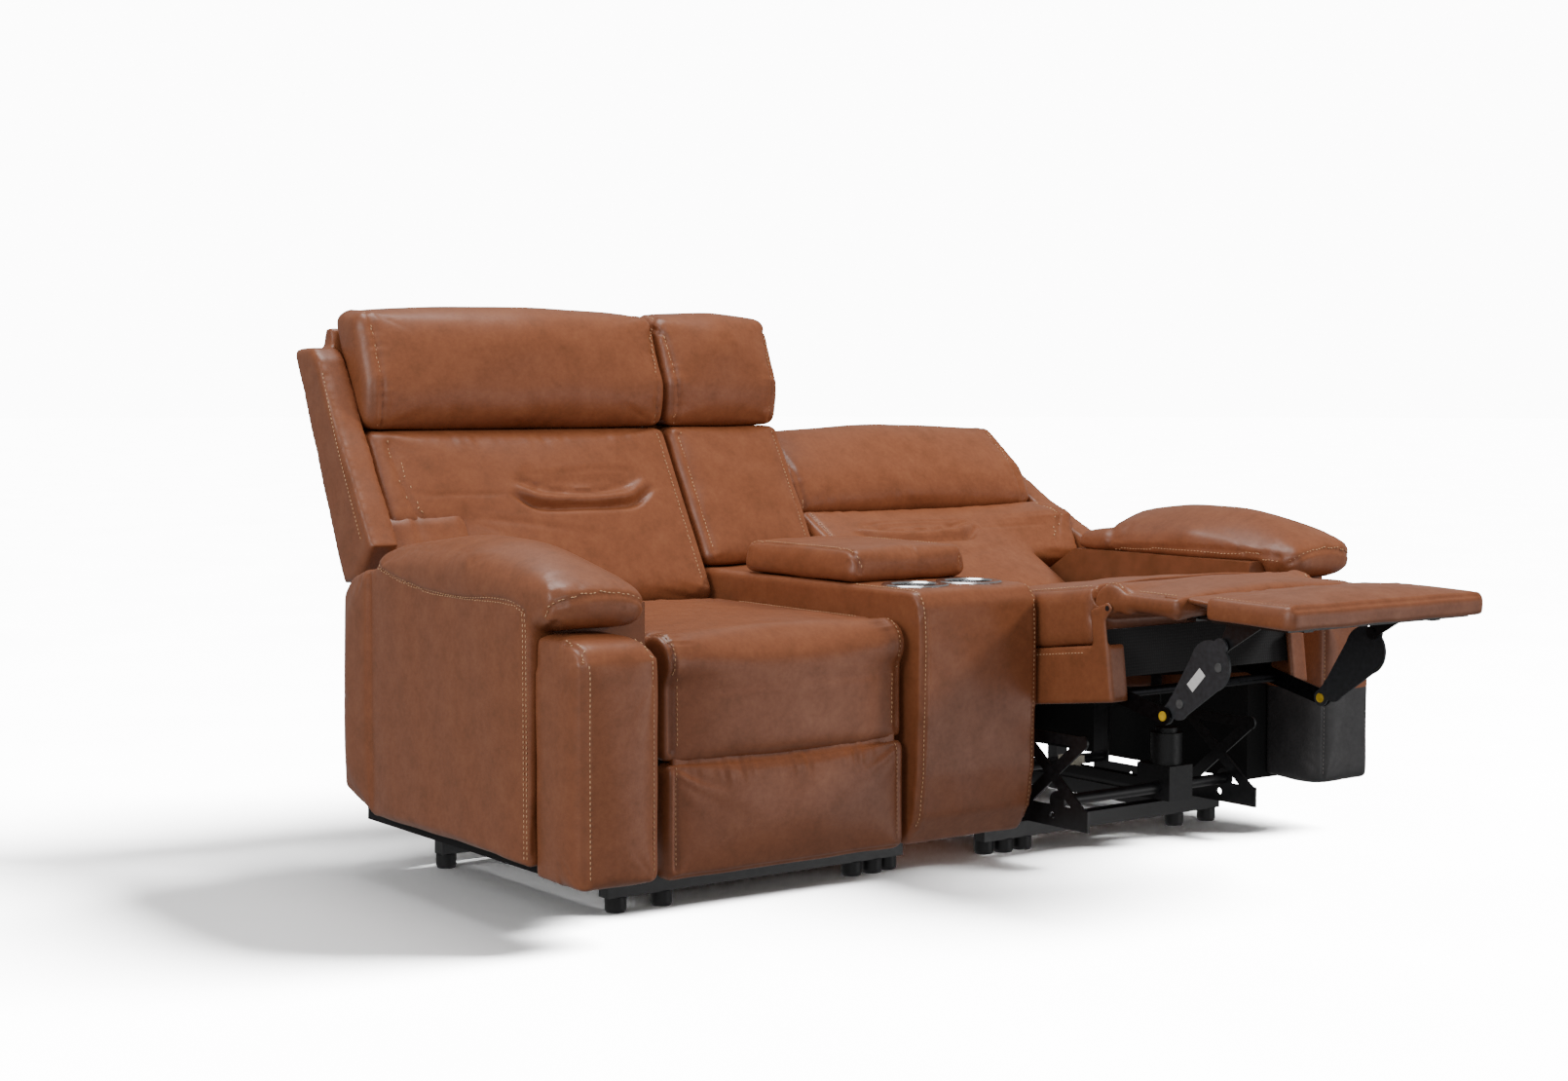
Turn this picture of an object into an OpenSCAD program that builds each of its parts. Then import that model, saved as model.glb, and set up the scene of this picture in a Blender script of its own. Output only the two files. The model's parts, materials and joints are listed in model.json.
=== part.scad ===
// Power reclining loveseat with a centre console, in millimetres, +Z up, front towards -Y.
// Stored pose: left seat upright with its footrest in, right seat reclined with its footrest out.
// Both seats are the same parts. Each piece is drawn for the closed seat and then carried to its pose.

/* [Overall] */
// Width of the centre console
console_w = 286; // [260:2:310]
// Width of one arm
arm_w = 228; // [222:2:236]
// Width of a moving seat
seat_w = 532; // [516:2:548]
// Gap between the console and each seat
seat_gap = 6; // [4:0.5:10]
// Gap between each seat and its arm
arm_gap = 51; // [46:1:56]
// Distance from the front of the arm boots to the origin
front_y = 332; // [310:1:350]

/* [Seat] */
// Front face of the closed footrest
seat_front = 156; // [146:1:170]
// Thickness of the footrest pads
pad_t = 47; // [40:1:52]
// Height of the footrest hinge
swing_z = 430; // [418:1:440]
// Height of the seat cushion crown
seat_top = 488; // [480:1:500]
// Underside of the upholstered seat box
box_low = 258; // [250:1:266]
// Top of the seat box under the cushion
box_top = 364; // [356:1:372]
// Height of the seat and back pivot
pivot_z = 374; // [370:1:380]
// Distance of the seat and back pivot from the boots
pivot_y = 728; // [722:1:734]

/* [Motion] */
// Forward glide of a seat from upright to reclined
glide_travel = 258; // [200:1:262]
// Front lift of the seat box at full recline
pan_pitch = 7; // [4:0.5:8]
// Swing of the back from upright to reclined
recline_angle = 31.5; // [24:0.5:33]
// Swing of the footrest from stowed to raised
rest_angle = 82; // [70:1:86]
// Extra reach of the outer footrest pad
rest_reach = 57; // [40:1:60]

/* [Footrest] */
// Length of the inner footrest pad below its hinge
chaise_len = 168; // [160:1:172]
// Length of the outer footrest pad
ottoman_len = 202; // [190:1:206]
// Length of the rear footrest link between pivots
link_rear_len = 212; // [206:1:216]
// Length of the front footrest link between pivots
link_front_len = 187; // [182:1:194]
// Radius of the pivot pins
pin_r = 5; // [4:0.5:6]
// Running clearance around each pin
pin_fit = 0.05; // [0.02:0.01:0.09]

/* [Back] */
// Height of the top of the back
back_top = 1052; // [1036:2:1076]
// Height of the seam between lumbar cushion and headrest
head_seam = 812; // [800:2:824]
// Thickness of the back cushions
back_pad_t = 78; // [66:1:84]
// Height where the back becomes wider than the seat
wide_low = 622; // [615:1:640]

/* [Arm] */
// Height of the wooden arm body
arm_top = 540; // [532:1:548]
// Height of the crown of the arm pad
arm_crown = 638; // [620:1:650]
// Thickness of the outer arm panel
panel_t = 52; // [44:1:54]
// Front face of the outer arm panel
panel_front = 142; // [130:1:150]
// Rear end of the arm
arm_rear = 816; // [806:1:826]

/* [Console] */
// Front face of the console
console_front = 133; // [125:1:145]
// Height of the console top
console_top = 527; // [518:1:534]
// Height of the padded lid above the console top
lid_h = 70; // [60:1:80]
// Outer radius of the cup holder rings
cup_ring_r = 63; // [56:0.5:64]
// Inner radius of the cup holders
cup_r = 44; // [40:0.5:48]
// Depth of the cup holders
cup_depth = 76; // [60:1:90]

/* [Base] */
// Height of the foot pads
foot_h = 26; // [20:1:30]
// Radius of the foot pads
foot_r = 19; // [16:0.5:22]

/* [Hidden] */
console_x = console_w / 2;
seat_x0 = console_x + seat_gap;
seat_x1 = seat_x0 + seat_w;
arm_in = seat_x1 + arm_gap;
half_w = arm_in + arm_w;
seat_mid = (seat_x0 + seat_x1) / 2;
swing_y = seat_front + pad_t;
wide_x1 = half_w - 126;
wing_x1 = half_w - 64;
// rest pose of each seat: 0 is upright or stowed, 1 is reclined or raised
left_g = 0;
left_f = 0;
right_g = 1;
right_f = 1;
wall_t = 22;
return_y = swing_y + 6;
panel_y = return_y + 22;
box_rear = pivot_y - 30;
post_y0 = pivot_y - 20;
post_y1 = pivot_y + 22;
rail_z0 = foot_h + 30;
rail_z1 = rail_z0 + 24;
car_z0 = rail_z0 + 8;
car_z1 = rail_z1 + 46;
motor_x = seat_mid + 70;
motor_y = swing_y + 184;
motor_z = car_z1 - 14;
plate_in = seat_x0 + 38;
plate_out = seat_x1 - 38;
steel_t = 5;
// footrest linkage, as [y, z] pairs in the closed seat
link_a = [swing_y + 127, swing_z - 128];
link_c = [swing_y + 50, swing_z - chaise_len];
// support links between the carriage and the pan
lift_e = [pivot_y - 298, pivot_z - 99.6];
lift_a = atan2(99.6, 298) + 180 - pan_pitch / 2;
lift_d = [pivot_y + 163 * cos(lift_a), pivot_z + 163 * sin(lift_a)];
function turned(p, o, a) = [o[0] + (p[0] - o[0]) * cos(a) - (p[1] - o[1]) * sin(a),
    o[1] + (p[0] - o[0]) * sin(a) + (p[1] - o[1]) * cos(a)];
link_c_open = turned([link_c[0], link_c[1] - rest_reach], [swing_y, swing_z], -rest_angle);
function knee(a, c) = let (d = norm(c - a), u = (c - a) / d,
    p = (link_rear_len * link_rear_len - link_front_len * link_front_len + d * d) / (2 * d),
    h = sqrt(link_rear_len * link_rear_len - p * p)) a + p * u + h * [-u[1], u[0]];
link_b = knee(link_a, link_c);
link_b_open = knee(link_a, link_c_open);
function heading(v) = atan2(v[1], v[0]);
function wrapped(a) = a > 180 ? a - 360 : (a < -180 ? a + 360 : a);
rear_swing = wrapped(heading(link_b - link_a) - heading(link_b_open - link_a));
front_turn = wrapped(heading(link_c_open - link_b_open) - heading(link_c - link_b));
front_swing = front_turn + rear_swing;
lift_e_open = turned(lift_e, [pivot_y, pivot_z], -pan_pitch);
lift_swing = wrapped(heading(lift_e - lift_d) - heading(lift_e_open - lift_d));
// back profile, as y positions of its front and rear faces in the closed seat
function face_y(z) = pivot_y + 21 + (z - 458) * 0.5537;
function rear_y(z) = pivot_y + 201 + (z - 520) * 0.469;
head_y0 = face_y(head_seam) - 2;

// placing helpers

module flip(s) {
    if (s < 0) mirror([1, 0, 0]) children();
    else children();
}

module at_origin() {
    translate([0, -front_y, 0]) children();
}

module turn_at(y, z, a) {
    translate([0, y, z]) rotate([a, 0, 0]) translate([0, -y, -z]) children();
}

module on_glide(s, g) {
    at_origin() flip(s) translate([0, -glide_travel * g, 0]) children();
}

module on_pan(s, g) {
    on_glide(s, g) turn_at(pivot_y, pivot_z, -pan_pitch * g) children();
}

module on_back(s, g) {
    on_glide(s, g) turn_at(pivot_y, pivot_z, -recline_angle * g) children();
}

module on_chaise(s, g, f) {
    on_pan(s, g) turn_at(swing_y, swing_z, -rest_angle * f) children();
}

module on_ottoman(s, g, f) {
    on_chaise(s, g, f) translate([0, 0, -rest_reach * f]) children();
}

module on_rear_link(s, g, f) {
    on_pan(s, g) turn_at(link_a[0], link_a[1], -rear_swing * f) children();
}

module on_support_link(s, g) {
    on_glide(s, g) turn_at(lift_d[0], lift_d[1], -lift_swing * g) children();
}

module on_front_link(s, g, f) {
    on_rear_link(s, g, f) turn_at(link_b[0], link_b[1], front_swing * f) children();
}

// shape helpers

module box(x0, x1, y0, y1, z0, z1) {
    translate([x0, y0, z0]) cube([x1 - x0, y1 - y0, z1 - z0]);
}

module rod(x0, x1, y, z, r) {
    translate([x0, y, z]) rotate([0, 90, 0]) cylinder(r = r, h = x1 - x0, $fn = 48);
}

module slice(x0, x1, points) {
    translate([x0, 0, 0]) rotate([90, 0, 90]) linear_extrude(height = x1 - x0) polygon(points);
}

module ball(x, y, z, r) {
    translate([x, y, z]) sphere(r = r, $fn = 18);
}

// a slanted bar in the y and z plane between two points
module strap(x0, x1, a, b, w) {
    d = b - a;
    n = [-d[1], d[0]] / norm(d) * w / 2;
    slice(x0, x1, [a - n, b - n, b + n, a + n]);
    rod(x0, x1, a[0], a[1], w / 2 + 1.5);
    rod(x0, x1, b[0], b[1], w / 2 + 1.5);
}

// a plate with a small and a large round end
module teardrop(x0, x1, a, ra, b, rb) {
    d = b - a;
    u = d / norm(d);
    k = (rb - ra) / norm(d);
    m = -k * u + sqrt(1 - k * k) * [-u[1], u[0]];
    n = -k * u - sqrt(1 - k * k) * [-u[1], u[0]];
    slice(x0, x1, [a + (ra - 1.5) * m, a + (ra - 1.5) * n, b + (rb - 1.5) * n, b + (rb - 1.5) * m]);
    rod(x0, x1, a[0], a[1], ra);
    rod(x0, x1, b[0], b[1], rb);
}

// fixed base and feet

module base_rails(s) {
    color([0.09, 0.09, 0.1]) at_origin() flip(s) {
        difference() {
            union() {
                box(plate_in - 14, plate_in + 14, 232, 764, foot_h, rail_z0);
                box(plate_out - 14, plate_out + 14, 232, 764, foot_h, rail_z0);
                box(console_x - 42, plate_out + 106, 232, 262, foot_h, rail_z0);
                box(console_x - 42, arm_in + 62, 734, 764, foot_h, rail_z0);
                box(arm_in + 30, arm_in + 62, 734, 764, rail_z0 - 1, foot_h + 70);
            }
            box(plate_in + 40, plate_out - 40, 236, 258, foot_h - 1, rail_z0 - 4);
            box(plate_in + 40, plate_out - 40, 738, 760, foot_h - 1, rail_z0 - 4);
        }
        for (x = [plate_in, plate_out]) {
            difference() {
                box(x - 9, x + 9, 264, 732, rail_z0, rail_z1);
                box(x - 2.9, x + 2.9, 263, 733, rail_z0 + 4, rail_z1 + 1);
            }
        }
    }
}

module base_left() base_rails(-1);
module base_right() base_rails(1);

module foot_pads() {
    color([0.05, 0.05, 0.05]) at_origin() {
        for (s = [-1, 1]) flip(s) {
            for (p = [[console_x + 20, 247], [plate_in + 24, 247], [plate_out - 12, 247], [plate_out + 82, 247],
                [plate_in, 749], [plate_out, 749], [arm_in + 46, 749]])
                foot(p[0], p[1]);
            foot(console_x - 22, 256);
            foot(console_x - 22, 749);
        }
    }
}

module foot(x, y) {
    translate([x, y, 0]) cylinder(r1 = foot_r - 2, r2 = foot_r, h = 6, $fn = 48);
    translate([x, y, 6]) cylinder(r = foot_r, h = foot_h - 6, $fn = 48);
}

// arms

// upper rear edge of the arm body, kept under the reclined back
slope_y0 = arm_rear - 164;
slope_k = 0.613;
slot_y0 = arm_rear - 170;
slot_z0 = arm_top - 190;
// power switches on the inner face of each arm
switch_y = panel_front + 194;
switch_z = arm_top - 120;

module arm_core(s) {
    x1 = half_w - panel_t - 0.2;
    color([0.42, 0.25, 0.15]) at_origin() flip(s) difference() {
        slice(arm_in, x1, [[panel_front + 1, foot_h + 70], [arm_rear - 6, foot_h + 70],
            [arm_rear - 6, arm_top - slope_k * (arm_rear - 6 - slope_y0)], [slope_y0, arm_top],
            [panel_front + 1, arm_top]]);
        box(arm_in + 26, x1 - 26, panel_front + 30, 600, foot_h + 96, arm_top - 24);
        box(wide_x1 - 6, x1 + 1, slot_y0, arm_rear + 1, slot_z0, arm_top + 1);
        box(arm_in - 1, arm_in + 3, switch_y - 36, switch_y + 36, switch_z - 20, switch_z + 20);
        for (d = [-18, 17]) rod(arm_in + 2, arm_in + 8.6, switch_y + d, switch_z, 13.4);
    }
}

module arm_core_left() arm_core(-1);
module arm_core_right() arm_core(1);

// outline of the outer panel, rising to the seam of the arm pad
panel_side = [[panel_front, 118], [panel_front, arm_top - 6], [175, arm_top + 5], [234, arm_top + 9],
    [351, arm_top + 4], [464, arm_top + 6], [560, arm_top + 17], [657, arm_top + 36], [720, arm_top + 32],
    [780, arm_top + 12], [arm_rear - 7, arm_top - 14], [arm_rear, arm_top - 40], [arm_rear, 156], [690, 118]];

module arm_panel(s) {
    color([0.55, 0.33, 0.21]) at_origin() flip(s)
        slice(half_w - panel_t, half_w, panel_side);
}

module arm_panel_left() arm_panel(-1);
module arm_panel_right() arm_panel(1);

boot_r = 56;

module arm_boot(s) {
    rb = 36;
    color([0.55, 0.33, 0.21]) at_origin() flip(s) {
        x0 = arm_in + 52;
        x1 = half_w - 12;
        intersection() {
            union() {
                box(x0 + rb, x1 - 14, 0, 40, 90, 520);
                translate([x1 - 14, 14, 90]) cylinder(r = 14, h = 430, $fn = 48);
                box(x0 + rb - 1, x1, 14, panel_front, 90, 520);
                translate([x0 + rb, rb, 90]) cylinder(r = rb, h = 430, $fn = 96);
                box(x0, x0 + rb, rb, panel_front, 90, 520);
            }
            slice(x0 - 1, x1 + 1, [[-20, 96], [panel_front, 104], [panel_front, 500], [60, 500],
                [22, 492], [4, 476], [-20, 440]]);
            union() {
                box(x0 - 1, x1 + 1, -20, 200, 90, 500 - boot_r);
                box(x0 + boot_r, x1 + 1, -20, 200, 90, 501);
                translate([x0 + boot_r, -20, 500 - boot_r]) rotate([-90, 0, 0]) cylinder(r = boot_r, h = 220, $fn = 96);
            }
        }
    }
}

module arm_boot_left() arm_boot(-1);
module arm_boot_right() arm_boot(1);

module arm_pad(s) {
    r = 28;
    x0 = arm_in + 12;
    x1 = half_w + 8;
    color([0.6, 0.37, 0.24]) at_origin() flip(s) difference() {
        union() {
            hull() {
                for (p = [[x1 - 30, 640, 40], [x0 + 28, 545, 24], [x1 - 36, 84, 18], [x0 + 58, 86, 6],
                    [x1 - 28, 330, 56], [x0 + 28, 330, 30], [x1 - 70, 654, 28], [x0 + 66, 580, 22]]) {
                    ball(p[0], p[1], arm_top - 4, r);
                    ball(p[0], p[1], arm_top + p[2], r);
                }
                translate([(x0 + x1) / 2 + 20, 380, arm_crown - 54]) scale([0.34, 1, 0.216]) sphere(r = 250, $fn = 32);
            }
            // puckered roll behind the pad, beside the back
            hull() for (x = [arm_in + 28, wide_x1 - 34]) {
                ball(x, 570, arm_top + 20, 24);
                ball(x, 636, arm_top + 14, 24);
                ball(x, 640, arm_top - 10, 24);
            }
        }
        box(x0 - 60, x1 + 60, panel_front, 760, 400, arm_top + 0.3);
        box(x0 - 60, x1 + 60, 0, panel_front + 1, 400, 500.3);
        slice(half_w - panel_t - 0.3, half_w + 20, [for (q = panel_side) q[1] > arm_top - 6.5 ? q + [0, 0.3] : q]);
        slice(half_w - panel_t - 0.3, half_w + 20, [[panel_front - 0.3, 400], [panel_front - 0.3, arm_top - 5.7],
            [176, arm_top + 5.3], [176, 400]]);
    }
}

module arm_pad_left() arm_pad(-1);
module arm_pad_right() arm_pad(1);

module switch_plates() {
    color([0.12, 0.12, 0.13]) at_origin() for (s = [-1, 1]) flip(s) difference() {
        box(arm_in, arm_in + 2.9, switch_y - 35.8, switch_y + 35.8, switch_z - 19.8, switch_z + 19.8);
        for (d = [-18, 17]) rod(arm_in - 1, arm_in + 4, switch_y + d, switch_z, 11.5);
    }
}

module button(s, y) {
    color([0.72, 0.73, 0.75]) at_origin() flip(s) {
        rod(arm_in - 3, arm_in + 6, y, switch_z, 11);
        rod(arm_in + 3.6, arm_in + 6, y, switch_z, 13);
    }
}

module button_out_left() button(-1, switch_y - 18);
module button_in_left() button(-1, switch_y + 17);
module button_out_right() button(1, switch_y - 18);
module button_in_right() button(1, switch_y + 17);

// console

cup_y = console_front + 108;
lid_y0 = console_front + 198;
lid_y1 = console_front + 556;
lid_pivot = [lid_y1 + 10, console_top + 12];
console_rear = arm_rear - 26;

module console_body() {
    cx = console_x;
    color([0.52, 0.31, 0.2]) at_origin() difference() {
        slice(-cx, cx, [[console_front + 46, rail_z0 + 0.3], [console_front + 12, 110], [console_front + 2, 190],
            [console_front - 2, 330], [console_front - 4, 430], [console_front, 500],
            [console_front + 14, console_top - 6], [console_front + 30, console_top],
            [rear_y(console_top) - 4, console_top], [rear_y(console_top) - 12, 330],
            [console_rear, 190], [console_rear, rail_z0 + 0.3]]);
        for (x = [-1, 1]) {
            translate([x * 66, cup_y, console_top - cup_depth - 5.2]) cylinder(r = cup_r + 3.2, h = 200, $fn = 96);
            translate([x * 66, cup_y, console_top - 3]) cylinder(r = cup_ring_r + 0.2, h = 20, $fn = 96);
        }
        box(-cx + 26, cx - 26, lid_y0 + 26, lid_y1 - 26, 260, console_top + 1);
        box(-14, 14, lid_y1 - 8, lid_y1 + 24, console_top - 14, console_top + 1);
        box(-cx + 46, cx - 46, 700, 766, rail_z0, 130);
    }
}

module cup_holders() {
    color([0.8, 0.8, 0.82]) at_origin() for (x = [-66, 66]) translate([x, cup_y, 0]) {
        difference() {
            union() {
                translate([0, 0, console_top - cup_depth - 5]) cylinder(r = cup_r + 3, h = cup_depth + 5, $fn = 96);
                translate([0, 0, console_top - 2.8]) cylinder(r = cup_ring_r, h = 4.3, $fn = 96);
                translate([0, 0, console_top + 1.4]) cylinder(r1 = cup_ring_r, r2 = cup_ring_r - 3, h = 2.2, $fn = 96);
            }
            translate([0, 0, console_top - cup_depth - 2]) cylinder(r = cup_r, h = cup_depth + 40, $fn = 96);
            translate([0, 0, console_top + 0.4]) cylinder(r1 = cup_r - 0.1, r2 = cup_r + 3.4, h = 3.4, $fn = 96);
        }
    }
}

module console_lid() {
    color([0.58, 0.35, 0.23]) at_origin() difference() {
        union() {
            hull() {
                for (x = [-console_x + 21, console_x - 21]) {
                    for (y = [lid_y0 + 21, lid_y1 - 21]) {
                        ball(x, y, console_top + 20, 20);
                        ball(x * 0.96, y, console_top + lid_h - 26, 19);
                    }
                }
                translate([0, (lid_y0 + lid_y1) / 2, console_top + lid_h - 24]) scale([0.62, 1, 0.14])
                    sphere(r = 165, $fn = 32);
            }
            box(-12, 12, lid_y1 - 30, lid_pivot[0], console_top + 4, console_top + 20);
            rod(-12, 12, lid_pivot[0], lid_pivot[1], 8);
        }
        rod(-20, 20, lid_pivot[0], lid_pivot[1], pin_r + pin_fit);
        box(-200, 200, 0, 900, 0, console_top + 0.5);
    }
}

module console_shell() {
    cx = console_x;
    color([0.45, 0.27, 0.17]) at_origin() {
        difference() {
            slice(-cx, cx, back_profile(console_top));
            box(-cx - 1, cx + 1, 600, 1200, 0, console_top);
        }
        for (x = [-18, 18]) {
            rod(x - 5, x + 5, lid_pivot[0], lid_pivot[1], 9);
            box(x - 5, x + 5, lid_pivot[0] - 9, lid_pivot[0] + 9, console_top, lid_pivot[1]);
        }
        rod(-14, 14, lid_pivot[0], lid_pivot[1], pin_r);
        box(-23, 23, lid_pivot[0] + 3, face_y(console_top) + back_pad_t + 30, console_top, console_top + 3.5);
    }
}

function back_profile(z0) = [[face_y(z0) + back_pad_t + 7, z0], [face_y(head_seam) + back_pad_t + 7, head_seam - 4],
    [face_y(head_seam) + 142, back_top - 86], [face_y(head_seam) + 150, back_top - 42],
    [face_y(head_seam) + 178, back_top - 42], [rear_y(back_top - 90), back_top - 90], [rear_y(z0), z0]];

module pad_form(x0, x1, z0, z1, t, bulge) {
    r = 20;
    hull() {
        for (x = [x0 + r, x1 - r]) {
            for (z = [z0 + r, z1 - r]) {
                ball(x, face_y(z) + r + 6, z, r);
                ball(x, face_y(z) + t - r + 6, z, r);
            }
        }
        translate([(x0 + x1) / 2, face_y((z0 + z1) / 2) + t / 2 + 4, (z0 + z1) / 2]) rotate([-28.97, 0, 0])
            scale([(x1 - x0 - 40) / 400, (t * 0.44 + bulge) / 200, (z1 - z0 - 24) / 350]) sphere(r = 200, $fn = 24);
    }
}

module head_form(x0, x1) {
    r = 24;
    y = head_y0;
    hull() {
        for (x = [x0 + r, x1 - r]) {
            ball(x, y + r + 4, head_seam + r + 1, r);
            ball(x, y + 62, head_seam + r + 1, r);
            ball(x, y + 66, back_top - r - 12, r);
            ball(x, y + 128, back_top - r - 6, r);
            ball(x, y + 24, head_seam + 90, r);
        }
        translate([(x0 + x1) / 2, y + 80, (head_seam + back_top) / 2 + 18])
            scale([(x1 - x0 - 30) / 400, 0.42, (back_top - head_seam - 36) / 400]) sphere(r = 200, $fn = 24);
    }
}

// room behind the back cushions, taken up by the padded shell
module behind_pads(z0) {
    slice(-half_w, half_w, [[face_y(z0) + back_pad_t + 6.7, z0], [1400, z0], [1400, head_seam],
        [face_y(head_seam) + back_pad_t + 6.7, head_seam]]);
}

module console_cushion() {
    color([0.58, 0.35, 0.23]) at_origin() difference() {
        pad_form(-console_x + 0.5, console_x - 0.5, console_top + 2, head_seam - 1, back_pad_t, 12);
        behind_pads(400);
        box(-200, 200, 500, 1400, head_seam - 1, head_seam + 60);
        box(-200, 200, 500, 1400, 400, console_top + 3.8);
        box(-200, 200, 500, lid_pivot[0] + 24, console_top, console_top + 60);
    }
}

module console_headrest() {
    color([0.6, 0.37, 0.24]) at_origin() difference() {
        head_form(-console_x + 0.5, console_x - 0.5);
        shell_cut();
    }
}

module shell_cut() {
    slice(-half_w, half_w, [for (p = back_profile(600)) [p[0] - 0.3, p[1] + 0.3]]);
}

// cloth covered boards closing the rear between the arms and the console
module rear_skirts() {
    color([0.16, 0.12, 0.1]) at_origin() for (s = [-1, 1]) flip(s)
        box(console_x, arm_in, console_rear - 12, console_rear - 2, foot_h + 70, pivot_z + 8);
}

module power_inlet() {
    color([0.1, 0.1, 0.1]) at_origin() {
        difference() {
            box(-24, 24, console_rear + 0.2, console_rear + 16, 120, 156);
            box(-14, 14, console_rear + 6, console_rear + 17, 129, 147);
        }
        for (x = [-5, 5]) translate([x, console_rear + 6.5, 138]) rotate([-90, 0, 0]) cylinder(r = 1.6, h = 8, $fn = 24);
    }
}

// seat carriage, drive and pan

module carriage(s, g) {
    color([0.08, 0.08, 0.09]) on_glide(s, g) {
        for (x = [plate_in, plate_out]) {
            u = x - 2.5;
            v = x + 2.5;
            difference() {
                union() {
                    box(u, v, 296, post_y1, car_z0, car_z1 - 22);
                    rod(u, v, motor_y - 8, motor_z, 20);
                    box(u, v, post_y0, post_y1, car_z0, pivot_z);
                    rod(u, v, pivot_y, pivot_z, 20);
                    strap(u, v, [312, car_z1 - 30], [478, box_low - 26], 22);
                    strap(u, v, [478, car_z1 - 31], [312, box_low - 27], 23);
                    strap(u, v, [314, box_low - 26], [post_y0 + 12, box_low - 26], 20);
                    strap(u, v, [lift_d[0], box_low - 25], lift_d, 25);
                }
                for (y = [392, 540, 640]) rod(x - 4, x + 4, y, car_z1 - 42, 7);
            }
            rod(x - 16, x + 16, pivot_y, pivot_z, pin_r);
            for (d = [-16, 16]) rod(x + d - 1.5, x + d + 1.5, pivot_y, pivot_z, pin_r + 5);
            q = x == plate_in ? x - 11 : x + 2;
            rod(q, q + 9, lift_d[0], lift_d[1], pin_r);
        }
        rod(plate_in, plate_out, motor_y - 8, motor_z, 11);
        rod(plate_in, plate_out, pivot_y - 2, motor_z, 11);
    }
}

module carriage_left() carriage(-1, left_g);
module carriage_right() carriage(1, right_g);

module motor(s, g) {
    color([0.14, 0.14, 0.15]) on_glide(s, g) {
        difference() {
            union() {
                box(motor_x - 32, motor_x + 32, motor_y - 40, motor_y + 48, motor_z - 24, motor_z + 44);
                translate([motor_x, motor_y, motor_z + 44]) cylinder(r = 31, h = 62, $fn = 64);
                translate([motor_x, motor_y, motor_z + 106]) cylinder(r = 22, h = 10, $fn = 64);
                box(motor_x - 12, motor_x + 12, motor_y + 40, pivot_y - 13.2, motor_z - 9, motor_z + 9);
            }
            rod(motor_x - 42, motor_x + 42, motor_y - 8, motor_z, 11);
            box(motor_x - 8, motor_x + 8, motor_y + 58, pivot_y - 26, motor_z - 4, motor_z + 10);
        }
    }
}

module motor_left() motor(-1, left_g);
module motor_right() motor(1, right_g);

nut_travel = 180;

module drive_nut(s, g, f) {
    color([0.85, 0.82, 0.7]) on_glide(s, g) translate([0, nut_travel * f, 0]) {
        box(motor_x - 7.6, motor_x + 7.6, motor_y + 68, motor_y + 108, motor_z - 3.6, motor_z + 9.4);
        box(motor_x - 18, motor_x + 18, motor_y + 68, motor_y + 108, motor_z + 9.4, motor_z + 26);
    }
}

module drive_nut_left() drive_nut(-1, left_g, left_f);
module drive_nut_right() drive_nut(1, right_g, right_f);

module pan_frame(s, g) {
    color([0.09, 0.09, 0.1]) on_pan(s, g) {
        for (k = [0, 1]) {
            x = k == 0 ? plate_in + 4 : plate_out - 4 - steel_t;
            e = k == 0 ? x + steel_t : x;
            difference() {
                union() {
                    box(x, x + steel_t, 262, box_rear - 10, link_a[1] - 20, link_a[1] + 28);
                    slice(x, x + steel_t, [[600, link_a[1] - 8], [600, link_a[1] + 28], [post_y0 - 14, pivot_z + 17],
                        [pivot_y, pivot_z + 17], [pivot_y + 12, pivot_z], [pivot_y, pivot_z - 17]]);
                    rod(x, x + steel_t, pivot_y, pivot_z, 17);
                }
                rod(x - 1, x + steel_t + 1, pivot_y, pivot_z, pin_r + pin_fit);
            }
            q = k == 0 ? x + 3 : x - 8;
            rod(q, q + 10, link_a[0], link_a[1], pin_r);
            w = k == 0 ? plate_in - 11 : plate_out - 6;
            rod(w, w + 17, lift_e[0], lift_e[1], pin_r);
            rod(x, x + steel_t, lift_e[0], lift_e[1], 15);
        }
        for (y = [284, 640]) rod(seat_x0 + wall_t, seat_x1 - wall_t, y, link_a[1] + 10, 9);
    }
}

module pan_frame_left() pan_frame(-1, left_g);
module pan_frame_right() pan_frame(1, right_g);

// the eye at the pan end has 1 mm of play, because this loop is left open there
module support_links(s, g) {
    color([0.13, 0.13, 0.14]) on_support_link(s, g) for (k = [0, 1]) {
        x = k == 0 ? plate_in - 9 : plate_out + 4;
        difference() {
            strap(x, x + steel_t, lift_d, lift_e, 26);
            rod(x - 1, x + 6, lift_d[0], lift_d[1], pin_r + pin_fit);
            rod(x - 1, x + 6, lift_e[0], lift_e[1], pin_r + 1);
        }
    }
}

module support_links_left() support_links(-1, left_g);
module support_links_right() support_links(1, right_g);

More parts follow.
